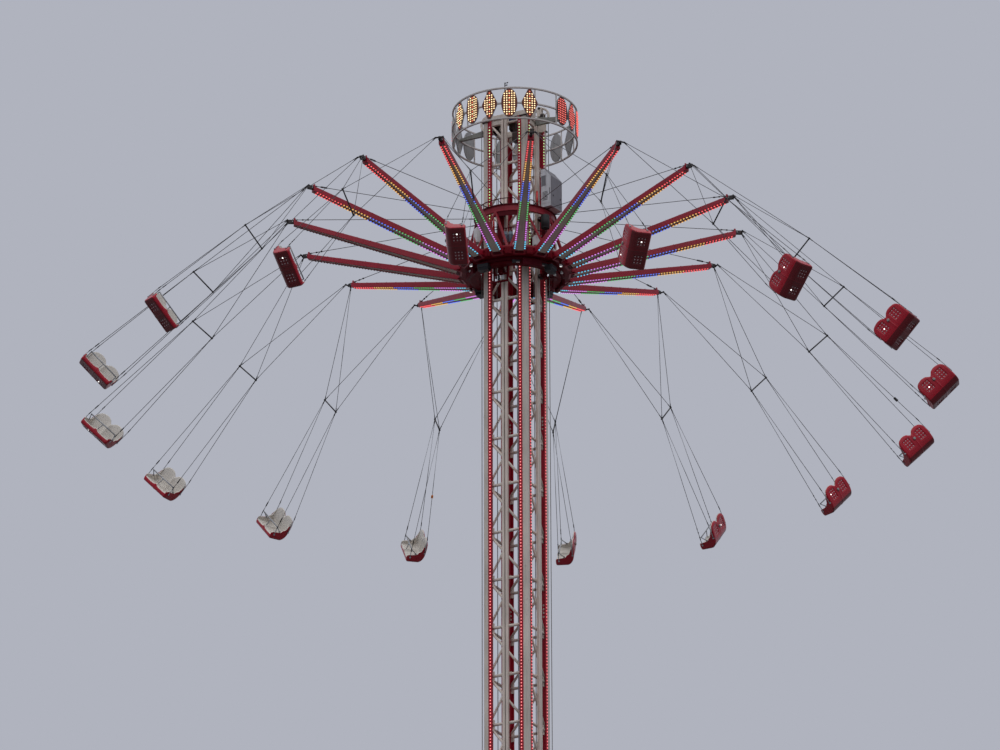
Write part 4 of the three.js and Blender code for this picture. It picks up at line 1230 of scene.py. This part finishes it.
# Boxes, speaker, beacon and motors.
for azimuth in (-32.6, 147.4):
    turn = about_z(azimuth)
    block(bm, (0.580, -0.050, 29.850), (0.656, 0.055, 30.010), edge=0.005, place=turn, finish=housing_white)
    block(bm, (0.655, -0.040, 29.862), (0.659, 0.045, 29.998), edge=0.002, place=turn, finish=housing_white)
    block(bm, (0.572, -0.012, 29.745), (0.584, 0.012, 30.130), edge=0.002, place=turn, finish=dark_crimson)
for azimuth in (-125.3, 54.7):
    turn = about_z(azimuth)
    block(bm, (0.625, -0.055, 29.990), (0.700, 0.055, 30.240), edge=0.006, place=turn, finish=housing_white)
    block(bm, (0.699, -0.044, 30.004), (0.703, 0.044, 30.226), edge=0.002, place=turn, finish=housing_white)
    block(bm, (0.600, -0.060, 30.270), (0.676, 0.060, 30.400), edge=0.006, place=turn, finish=dark_crimson)
    block(bm, (0.604, -0.012, 30.115), (0.628, 0.012, 30.420), edge=0.002, place=turn, finish=dark_crimson)
for azimuth in (-17.7, 162.3):
    turn = about_z(azimuth) @ at(0.636, 0, 0)
    rod(bm, (0, 0, 30.180), (0, 0, 30.192), 0.058, sides=24, finish=speaker_black, end_radius=0.066,
        place=turn)
    rod(bm, (0, 0, 30.192), (0, 0, 30.390), 0.066, sides=24, finish=speaker_black, place=turn)
    rod(bm, (0, 0, 30.390), (0, 0, 30.400), 0.066, sides=24, finish=speaker_black, end_radius=0.056,
        place=turn)
    block(bm, (-0.040, -0.012, 30.380), (0.0, 0.012, 30.420), edge=0.002, place=turn, finish=dark_crimson)
for azimuth in (-30.0, 150.0):
    turn = about_z(azimuth)
    block(bm, (0.585, -0.018, BAND_HIGH), (0.621, 0.018, BAND_HIGH + 0.030), edge=0.003, place=turn,
          finish=dark_crimson)
    rod(bm, (BEACON_RADIUS, 0, 30.550), (BEACON_RADIUS, 0, 30.760), 0.017, sides=16,
        finish=beacon_red, place=turn)
    rod(bm, (BEACON_RADIUS, 0, 30.760), (BEACON_RADIUS, 0, 30.785), 0.017, sides=16,
        finish=beacon_red, end_radius=0.008, place=turn)
for azimuth in (-77.4, -70.0, 102.6, 110.0):
    turn = about_z(azimuth)
    rod(bm, (MOTOR_RADIUS, 0, 29.870), (MOTOR_RADIUS, 0, 30.030), 0.034, sides=20,
        finish=motor_blue, place=turn)
    for k in range(7):
        z = 29.884 + 0.018 * k
        rod(bm, (MOTOR_RADIUS, 0, z), (MOTOR_RADIUS, 0, z + 0.008), 0.038, sides=20,
            finish=motor_blue, place=turn)
    rod(bm, (MOTOR_RADIUS, 0, 30.030), (MOTOR_RADIUS, 0, 30.050), 0.034, sides=20,
        finish=motor_blue, end_radius=0.026, place=turn)
    block(bm, (0.598, -0.030, 29.838), (0.670, 0.030, 29.872), edge=0.004, place=turn, finish=dark_crimson)
    block(bm, (0.590, -0.010, 29.745), (0.602, 0.010, 30.128), edge=0.002, place=turn, finish=dark_crimson)
fit_piece(bm, "cage", "rotor", crimson, replaces=["rotor_cage"])

# Stays. One wire rope from a collar round the cage's top ring to each arm's head, ended in a
# swaged eye and a bottle screw near the tip.

stay_steel = rope_finish("stay wire rope", (104, 102, 104), (48, 46, 46), 0.4, 0.5)
black_fitting = painted("black fitting", (34, 33, 35), (80, 66, 54), 0.5, streaks=0.2, chips=0.3)


def bottle_screw(bm, start, end, radius):
    """A turnbuckle between two points: an open body with a screwed end on either side."""
    start = Vector(start)
    along = Vector(end) - start
    rod(bm, start, start + along, radius * 0.42, sides=8, finish=black_fitting)
    rod(bm, start + along * 0.22, start + along * 0.34, radius, sides=8, finish=black_fitting)
    rod(bm, start + along * 0.66, start + along * 0.78, radius, sides=8, finish=black_fitting)
    side = along.orthogonal().normalized() * radius * 0.8
    for sign in (-1, 1):
        rod(bm, start + along * 0.3 + side * sign, start + along * 0.7 + side * sign, radius * 0.32, sides=6,
            finish=black_fitting)


bm = bmesh.new()
turned(bm, [(0.6223, 30.509), (0.638, 30.509), (0.638, 30.525), (0.6223, 30.525)], 64, finish=dark_crimson,
       smooth=False)
for i in range(16):
    angle = FIRST_ARM + ARM_STEP * i
    inner = polar(0.6303, angle, 30.517)
    outer = polar(3.405, angle, 30.4295)
    along = outer - inner
    rope(bm, [inner, inner + along * 0.5, outer], 0.005)
    bottle_screw(bm, inner + along * 0.900, inner + along * 0.968, 0.012)
    rod(bm, inner + along * 0.004, inner + along * 0.030, 0.009, sides=8, finish=black_fitting)
    rod(bm, inner + along * 0.975, outer, 0.009, sides=8, finish=black_fitting)
fit_piece(bm, "stays", "rotor", stay_steel, replaces=["stay_ropes"])

# Cabinet. A sheet steel control cabinet on the cage's top ring, with a service door, a dark
# window plate, ventilation slots, and a black cable duct along its top.

cabinet_grey = painted("cabinet paint", (196, 198, 202), (120, 118, 116), 0.42, streaks=0.4, chips=0.15)
cabinet_shaded_side = painted("cabinet side painted shade", (116, 114, 120), (84, 80, 80), 0.45, streaks=0.3, chips=0.15)
window_dark = painted("dark window plate", (112, 112, 116), (80, 76, 74), 0.25, streaks=0.2, chips=0.0)

CABINET_TURN = -6.0
CABINET_LOW = 30.5253
CABINET_HIGH = 31.1653
bm = bmesh.new()
outline = [(0.565, CABINET_LOW), (0.750, CABINET_LOW), (0.750, CABINET_HIGH - 0.140), (0.640, CABINET_HIGH),
           (0.565, CABINET_HIGH)]
stand = about_z(CABINET_TURN) @ at(0, 0.160, 0) @ TO_FRONT
turn = about_z(CABINET_TURN)
# Faces turned to the cabinet's +X side get a darker grey: painted shade on that side.
for face in slab(bm, outline, 0.320, place=stand, edge=0.006):
    if face.normal.dot(turn.to_3x3() @ Vector((1, 0, 0))) > 0.3:
        face.material_index = number_of(cabinet_shaded_side)
block(bm, (0.582, -0.1630, 30.585), (0.736, -0.1590, 31.010), edge=0.002, place=turn)
block(bm, (0.575, -0.1655, 30.880), (0.662, -0.1620, 31.050), edge=0.002, place=turn, finish=window_dark)
for low, high in ((0.571, 0.578), (0.659, 0.666)):
    block(bm, (low, -0.1665, 30.874), (high, -0.1620, 31.056), edge=0.001, place=turn)
for low in (30.874, 31.050):
    block(bm, (0.571, -0.1665, low), (0.666, -0.1620, low + 0.006), edge=0.001, place=turn)
block(bm, (0.720, -0.167, 30.740), (0.729, -0.163, 30.830), edge=0.002, place=turn, finish=motor_black)
for k in range(7):
    block(bm, (0.600, -0.1655, 30.640 + 0.022 * k), (0.690, -0.1620, 30.648 + 0.022 * k), place=turn,
          finish=motor_black)
# The side panel carries the same painted shade.
block(bm, (0.7485, -0.140, 30.575), (0.7530, 0.140, 30.990), edge=0.002, place=turn, finish=cabinet_shaded_side)
for y in (-0.100, 0.100):
    block(bm, (0.752, y - 0.010, 30.700), (0.757, y + 0.010, 30.725), edge=0.001, place=turn,
          finish=motor_black)
block(bm, (0.568, -0.155, 31.1640), (0.636, 0.155, 31.1780), edge=0.004, place=turn, finish=motor_black)
for y in (-0.158, 0.150):
    block(bm, (0.590, y, 30.5253), (0.730, y + 0.008, 30.5500), edge=0.001, place=turn, finish=motor_black)
fit_piece(bm, "cabinet", "rotor", cabinet_grey, replaces=["control_cabinet"])

# Seats. Double bucket seats moulded in glass-fibre: glossy crimson outside, off-white inside and
# over the rim, with two rounded backrests. Each half has a sunk lamp panel behind and below.

SEAT_LOW = -4.350
BUCKET_MIDDLE = 0.136
SEAT_LAMP_PITCH = 0.046


def seat_skin(name, colour, low_colour, roughness, coat):
    """Gel-coated glass-fibre: an even gloss with faint swirls, scuffs and dust in its hollows."""
    material, tree, shader = new_finish(name)
    wear = node(
        tree, "Group",
        {
            "Paint": tone(*colour), "Dirt": tone(*low_colour),
            "Streaks": 0.12, "Chips": 0.0, "Roughness": roughness,
        },
        node_tree=paint_group,
    ).outputs
    swirl = noise(tree, node(tree, "TexCoord").outputs["Object"], 7.0, 2.0)
    relief = node(tree, "Bump", {"Height": swirl, "Strength": 0.10, "Distance": 0.01})
    feed(tree, shader, {
        "Base Color": wear["Color"], "Roughness": wear["Roughness"], "Normal": relief.outputs["Normal"],
        "Coat Weight": coat, "Coat Roughness": 0.08, "Specular IOR Level": 0.28,
    })
    return material


seat_red = seat_skin("seat crimson gelcoat", (174, 10, 38), (100, 10, 24), 0.3, 0.1)
# Painted shade: the faces under the seat get the same crimson made darker, for the shade that falls there.
seat_red_painted_shade = seat_skin("seat underside painted shade", (100, 4, 19), (60, 5, 12), 0.36, 0.05)
seat_white = seat_skin("seat off-white gelcoat", (214, 208, 198), (160, 148, 132), 0.34, 0.1)
lens_clear = painted("seat lamp lens", (196, 166, 170), (120, 90, 92), 0.2, streaks=0.1, chips=0.0)
lens_lit = plain_lamp_finish("lit seat lamp", (255, 250, 240), 2.2, 1.0)
cap_grey = painted("grey cap", (150, 146, 144), (90, 86, 82), 0.4, streaks=0.1, chips=0.1)

HUMP = [(0.000, 0.330), (0.024, 0.344), (0.051, 0.379), (0.088, 0.397), (0.136, 0.402), (0.192, 0.394),
        (0.240, 0.370), (0.268, 0.328), (0.288, 0.272)]
HUMP_START = 0.240
# Outside of the shell from the front lip, under the seat and up the back, as (y, z).
OUTER = [(0.159, 0.022), (0.142, 0.0), (0.116, 0.0), (0.108, 0.0), (0.030, 0.0), (-0.048, 0.0),
         (-0.056, 0.002), (-0.094, 0.024), (-0.126, 0.068), (-0.143, 0.120), (-0.1468, 0.142),
         (-0.1485, 0.150), (-0.155, 0.200), (-0.159, 0.250), (-0.159, 0.300), (-0.159, 0.336),
         (-0.159, 0.344), (-0.158, 0.374), (-0.143, 0.398)]
# Inside of a bucket from the top of the back to the front lip, and the same points along the side's rim.
BUCKET = [(-0.122, 0.398), (-0.117, 0.365), (-0.114, 0.304), (-0.112, 0.208), (-0.110, 0.128),
          (-0.100, 0.085), (-0.068, 0.074), (0.000, 0.074), (0.085, 0.077), (0.140, 0.083),
          (0.156, 0.074)]
RIM = [(-0.122, 0.398), (-0.109, 0.372), (-0.101, 0.308), (-0.090, 0.206), (-0.058, 0.189),
       (-0.027, 0.171), (-0.014, 0.138), (0.017, 0.130), (0.085, 0.126), (0.140, 0.122), (0.159, 0.117)]
# Distance from the middle, whether the section is of the side's rim, and its share of the full size.
STATIONS = [(x, False, 1.0) for x in (
    0.0, 0.005, 0.010, 0.034, 0.056, 0.0635, 0.100, 0.136, 0.172, 0.2085, 0.216, 0.238, 0.2535, 0.2588,
)]
STATIONS += [(0.2612, True, 1.0), (0.2665, True, 0.99), (0.274, True, 0.965), (0.280, True, 0.925)]
PANEL_STATIONS = (6, 7, 8, 9)
BACK_PANEL = (11, 12, 13, 14)
UNDER_PANEL = (3, 4)
# Outline faces under the seat, which get the painted shade.
UNDERSIDE = (1, 2, 3, 4, 5, 6, 7)
# Numbers that mark the panels' faces while the shell is rounded.
BACK_MARK = 100
UNDER_MARK = 101


def hump_height(x):
    for (x0, z0), (x1, z1) in zip(HUMP, HUMP[1:]):
        if x <= x1:
            return z0 + (z1 - z0) * (x - x0) / (x1 - x0)
    return HUMP[-1][1]


def seat_section(x, on_side):
    """The shell's closed outline at one distance from the middle of the seat."""
    crown = hump_height(x)
    ridge = math.exp(-((x / 0.025) ** 2))
    dish = math.cos((x - BUCKET_MIDDLE) / 0.124 * math.pi / 2) if abs(x - BUCKET_MIDDLE) < 0.124 else 0.0
    seam = 0.004 if x < 0.006 else 0.0
    points = []
    for index, (y, z) in enumerate(OUTER):
        points.append([y - seam, z] if index > 7 else [y, z - seam])
    for index, (y, z) in enumerate(RIM if on_side else BUCKET):
        if not on_side:
            if index > 5:
                z += 0.026 * ridge - 0.008 * dish
            elif index > 0:
                y += 0.013 * ridge - 0.006 * dish
        points.append([y, z])
    for point in points:
        above = point[1] - HUMP_START
        if above > 0:
            point[1] = HUMP_START + above * (crown - HUMP_START) / 0.162
    return points


def seat_pattern(lit_back, lit_under):
    """The finished double seat in its swing's own frame."""
    bm = bmesh.new()
    before = None
    count = len(OUTER) + len(BUCKET)
    for station, (x, on_side, share) in enumerate(STATIONS):
        section = []
        for y, z in seat_section(x, on_side):
            section.append(bm.verts.new((x, y * share, 0.15 + (z - 0.15) * share)))
        if before:
            for k in range(count):
                after = (k + 1) % count
                face = bm.faces.new((before[k], before[after], section[after], section[k]))
                if len(OUTER) - 1 <= k < count - 1:
                    face.material_index = number_of(seat_white)
                elif station in PANEL_STATIONS and k in BACK_PANEL:
                    face.material_index = BACK_MARK
                elif station in PANEL_STATIONS and k in UNDER_PANEL:
                    face.material_index = UNDER_MARK
                elif k in UNDERSIDE:
                    face.material_index = number_of(seat_red_painted_shade)
        before = section
    end = bm.faces.new(before)
    bmesh.ops.inset_region(bm, faces=[end], thickness=0.007, depth=0.0, use_even_offset=True)
    bmesh.ops.inset_region(bm, faces=[end], thickness=0.005, depth=-0.006, use_even_offset=True)
    bmesh.ops.mirror(bm, geom=bm.verts[:] + bm.edges[:] + bm.faces[:], matrix=Matrix.Identity(4),
                     merge_dist=1e-5, axis="X")
    bmesh.ops.remove_doubles(bm, verts=bm.verts, dist=1e-5)
    bmesh.ops.recalc_face_normals(bm, faces=bm.faces)
    for face in bm.faces:
        face.smooth = True
    cage_mesh = keep_mesh(bm, "seat_cage")
    shell = add_object("seat_cage", cage_mesh)
    smoother = shell.modifiers.new("smooth", "SUBSURF")
    smoother.levels = 1
    smoother.render_levels = 1
    evaluated = shell.evaluated_get(bpy.context.evaluated_depsgraph_get())
    bm = bmesh.new()
    bm.from_mesh(evaluated.to_mesh())
    evaluated.to_mesh_clear()
    bpy.data.objects.remove(shell)
    bpy.data.meshes.remove(cage_mesh)
    # Sunk lamp panels, two behind and two below.
    for panel in (BACK_MARK, UNDER_MARK):
        for side in (-1, 1):
            faces = [f for f in bm.faces if f.material_index == panel]
            faces = [f for f in faces if side * f.calc_center_median().x > 0]
            bmesh.ops.inset_region(bm, faces=faces, thickness=0.003, depth=-0.009, use_even_offset=True)
    for face in bm.faces:
        face.smooth = True
        # The lower lamp panels get the underside's painted shade, the back panels the plain crimson.
        if face.material_index in (BACK_MARK, UNDER_MARK):
            face.material_index = number_of(seat_red_painted_shade if face.material_index == UNDER_MARK else None)
    surface = BVHTree.FromBMesh(bm)
    lens = dome_pattern(0.0115, 0.006)
    bm.verts.layers.float.new("core")
    for side in (-1, 1):
        for panel, rows, spot in (("back", 4, lit_back), ("under", 3, lit_under)):
            for i in range(3):
                for j in range(rows):
                    x = side * BUCKET_MIDDLE + SEAT_LAMP_PITCH * (i - 1)
                    if panel == "back":
                        start = Vector((x, -0.4, 0.243 + SEAT_LAMP_PITCH * (j - 1.5)))
                        hit, normal, _, _ = surface.ray_cast(start, Vector((0, 1, 0)))
                    else:
                        start = Vector((x, 0.030 + SEAT_LAMP_PITCH * (j - 1), -0.3))
                        hit, normal, _, _ = surface.ray_cast(start, Vector((0, 0, 1)))
                    turn = normal.to_track_quat("Z", "X").to_matrix().to_4x4()
                    light = lens_lit if spot == (side, i, j) else lens_clear
                    stamp(bm, lens, at(*hit) @ turn, finish=light)
    rod(bm, (0, -0.172, 0.250), (0, -0.155, 0.250), 0.024, sides=20, finish=cap_grey)
    rod(bm, (0, -0.178, 0.250), (0, -0.172, 0.250), 0.014, sides=20, finish=cap_grey, end_radius=0.024)
    bmesh.ops.translate(bm, vec=(0, 0, SEAT_LOW), verts=bm.verts)
    return keep_mesh(bm, "seat")


SWING_TILT = math.radians(-44.5)
HINGE_RADIUS = 3.44445
HINGE_HEIGHT = 30.4
seat_kinds = [
    seat_pattern((-1, 1, 1), None),
    seat_pattern((1, 0, 1), (-1, 1, 0)),
    seat_pattern((-1, 0, 2), (1, 1, 1)),
    seat_pattern(None, (1, 2, 1)),
]


def swing_place(index):
    fling = Matrix.Rotation(SWING_TILT, 4, "Y")
    return about_z(FIRST_ARM + ARM_STEP * (index + 0.5)) @ at(HINGE_RADIUS, 0, HINGE_HEIGHT) @ fling


for index in range(16):
    label = f"{index + 1:02d}"
    bm = bmesh.new()
    stamp(bm, seat_kinds[(index * 3 + index // 4) % 4], swing_place(index))
    fit_piece(bm, f"double_seat_{label}", f"swing_{label}", seat_red,
              replaces=[f"seat_{label}"], recalculate=False)

# Swing ropes. Four black-sheathed ropes cross from the arm tips to a short spreader, and four go
# on from it to hanger rods on the seat's sides, with a bottle screw at each front rope's end.

swing_black = rope_finish("black swing rope", (100, 99, 103), (64, 62, 64), 0.3, 0.6)
EYE_Y = 0.62397
SPREADER_Z = -2.010
SPREADER_REACH = 0.213
ROPE_RADIUS = 0.0043
SLEEVE_RADIUS = 0.0068
ROD_X = 0.2883


def rigging_pattern():
    """One swing's ropes, spreader, rods and lap bar in its own frame."""
    bm = bmesh.new()
    bm.loops.layers.uv.verify()
    for side in (-1, 1):
        y = side * EYE_Y
        block(bm, (-0.012, y - 0.012, -0.012), (0.012, y + 0.012, 0.012), edge=0.003, finish=black_fitting)
        for end in (-1, 1):
            start = Vector((end * 0.004, y, -0.004))
            seat_end = Vector((end * SPREADER_REACH, 0, SPREADER_Z))
            along = (seat_end - start).normalized()
            rope(bm, [start, (start + seat_end) / 2, seat_end], ROPE_RADIUS, sides=6)
            rod(bm, start + along * 0.015, start + along * 0.065, SLEEVE_RADIUS, sides=8,
                finish=black_fitting)
            rod(bm, seat_end - along * 0.070, seat_end - along * 0.020, SLEEVE_RADIUS, sides=8,
                finish=black_fitting)
    rod(bm, (-0.215, 0, SPREADER_Z), (0.215, 0, SPREADER_Z), 0.0105, sides=12, finish=black_fitting)
    for end in (-1, 1):
        rod(bm, (end * 0.203, 0, SPREADER_Z), (end * 0.225, 0, SPREADER_Z), 0.016, sides=12,
            finish=black_fitting)
        hook = end * SPREADER_REACH
        block(bm, (hook - 0.007, -0.007, SPREADER_Z - 0.024), (hook + 0.007, 0.007, SPREADER_Z + 0.024),
              edge=0.003, finish=black_fitting)
        for y, top, low in ((0.102, 0.184, 0.072), (-0.128, 0.408, 0.160)):
            start = Vector((end * SPREADER_REACH, 0, SPREADER_Z))
            seat_end = Vector((end * ROD_X, y, SEAT_LOW + top))
            along = (seat_end - start).normalized()
            rope(bm, [start, (start + seat_end) / 2, seat_end], ROPE_RADIUS, sides=6)
            rod(bm, start + along * 0.02, start + along * 0.07, SLEEVE_RADIUS, sides=8, finish=black_fitting)
            if y > 0:
                bottle_screw(bm, seat_end - along * 0.24, seat_end - along * 0.09, 0.008)
            rod(bm, seat_end - along * 0.06, seat_end, 0.0075, sides=8, finish=black_fitting)
            x = end * ROD_X
            foot = SEAT_LOW + low
            rod(bm, (x, y, foot), (x, y, SEAT_LOW + top + 0.006), 0.0066, sides=10, finish=zinc)
            block(bm, (end * 0.270, y - 0.013, foot), (end * 0.296, y + 0.013, foot + 0.024),
                  edge=0.002, finish=zinc)
    # Lap bar: a bent steel bar across the front with a pivot at either side.
    for end in (-1, 1):
        rod(bm, (end * 0.262, 0.016, SEAT_LOW + 0.146), (end * 0.262, 0.088, SEAT_LOW + 0.213), 0.0075,
            sides=10, finish=zinc)
        rod(bm, (end * 0.256, 0.012, SEAT_LOW + 0.140), (end * 0.270, 0.012, SEAT_LOW + 0.140), 0.016,
            sides=12, finish=zinc)
    rod(bm, (-0.266, 0.090, SEAT_LOW + 0.215), (0.266, 0.090, SEAT_LOW + 0.215), 0.0095, sides=12,
        finish=zinc)
    rod(bm, (0, 0.090, SEAT_LOW + 0.215), (0, 0.118, SEAT_LOW + 0.098), 0.0075, sides=10, finish=zinc)
    return pattern_of(bm, "rigging")


rigging = rigging_pattern()
tag_orange = painted("orange tag", (236, 130, 26), (120, 70, 30), 0.5, streaks=0.1, chips=0.0)
# Swings with a box or a tag on a rear rope: its side, its share of the way down, its size, its finish.
TAGS = {1: (1, 0.75, (0.030, 0.034, 0.075), black_fitting), 5: (-1, 0.60, (0.030, 0.030, 0.050), tag_orange)}

for index in range(16):
    label = f"{index + 1:02d}"
    bm = bmesh.new()
    stamp(bm, rigging, swing_place(index))
    if index in TAGS:
        end, share, size, kind = TAGS[index]
        top = Vector((end * SPREADER_REACH, 0, SPREADER_Z))
        along = Vector((end * ROD_X, -0.128, SEAT_LOW + 0.408)) - top
        on_rope = at(*(top + along * share)) @ along.to_track_quat("Z", "Y").to_matrix().to_4x4()
        half = Vector(size) / 2
        block(bm, -half, half, edge=0.004, place=swing_place(index) @ on_rope, finish=kind)
    fit_piece(bm, f"swing_ropes_{label}", f"swing_{label}", swing_black,
              replaces=[f"seat_ropes_{label}"], recalculate=False)
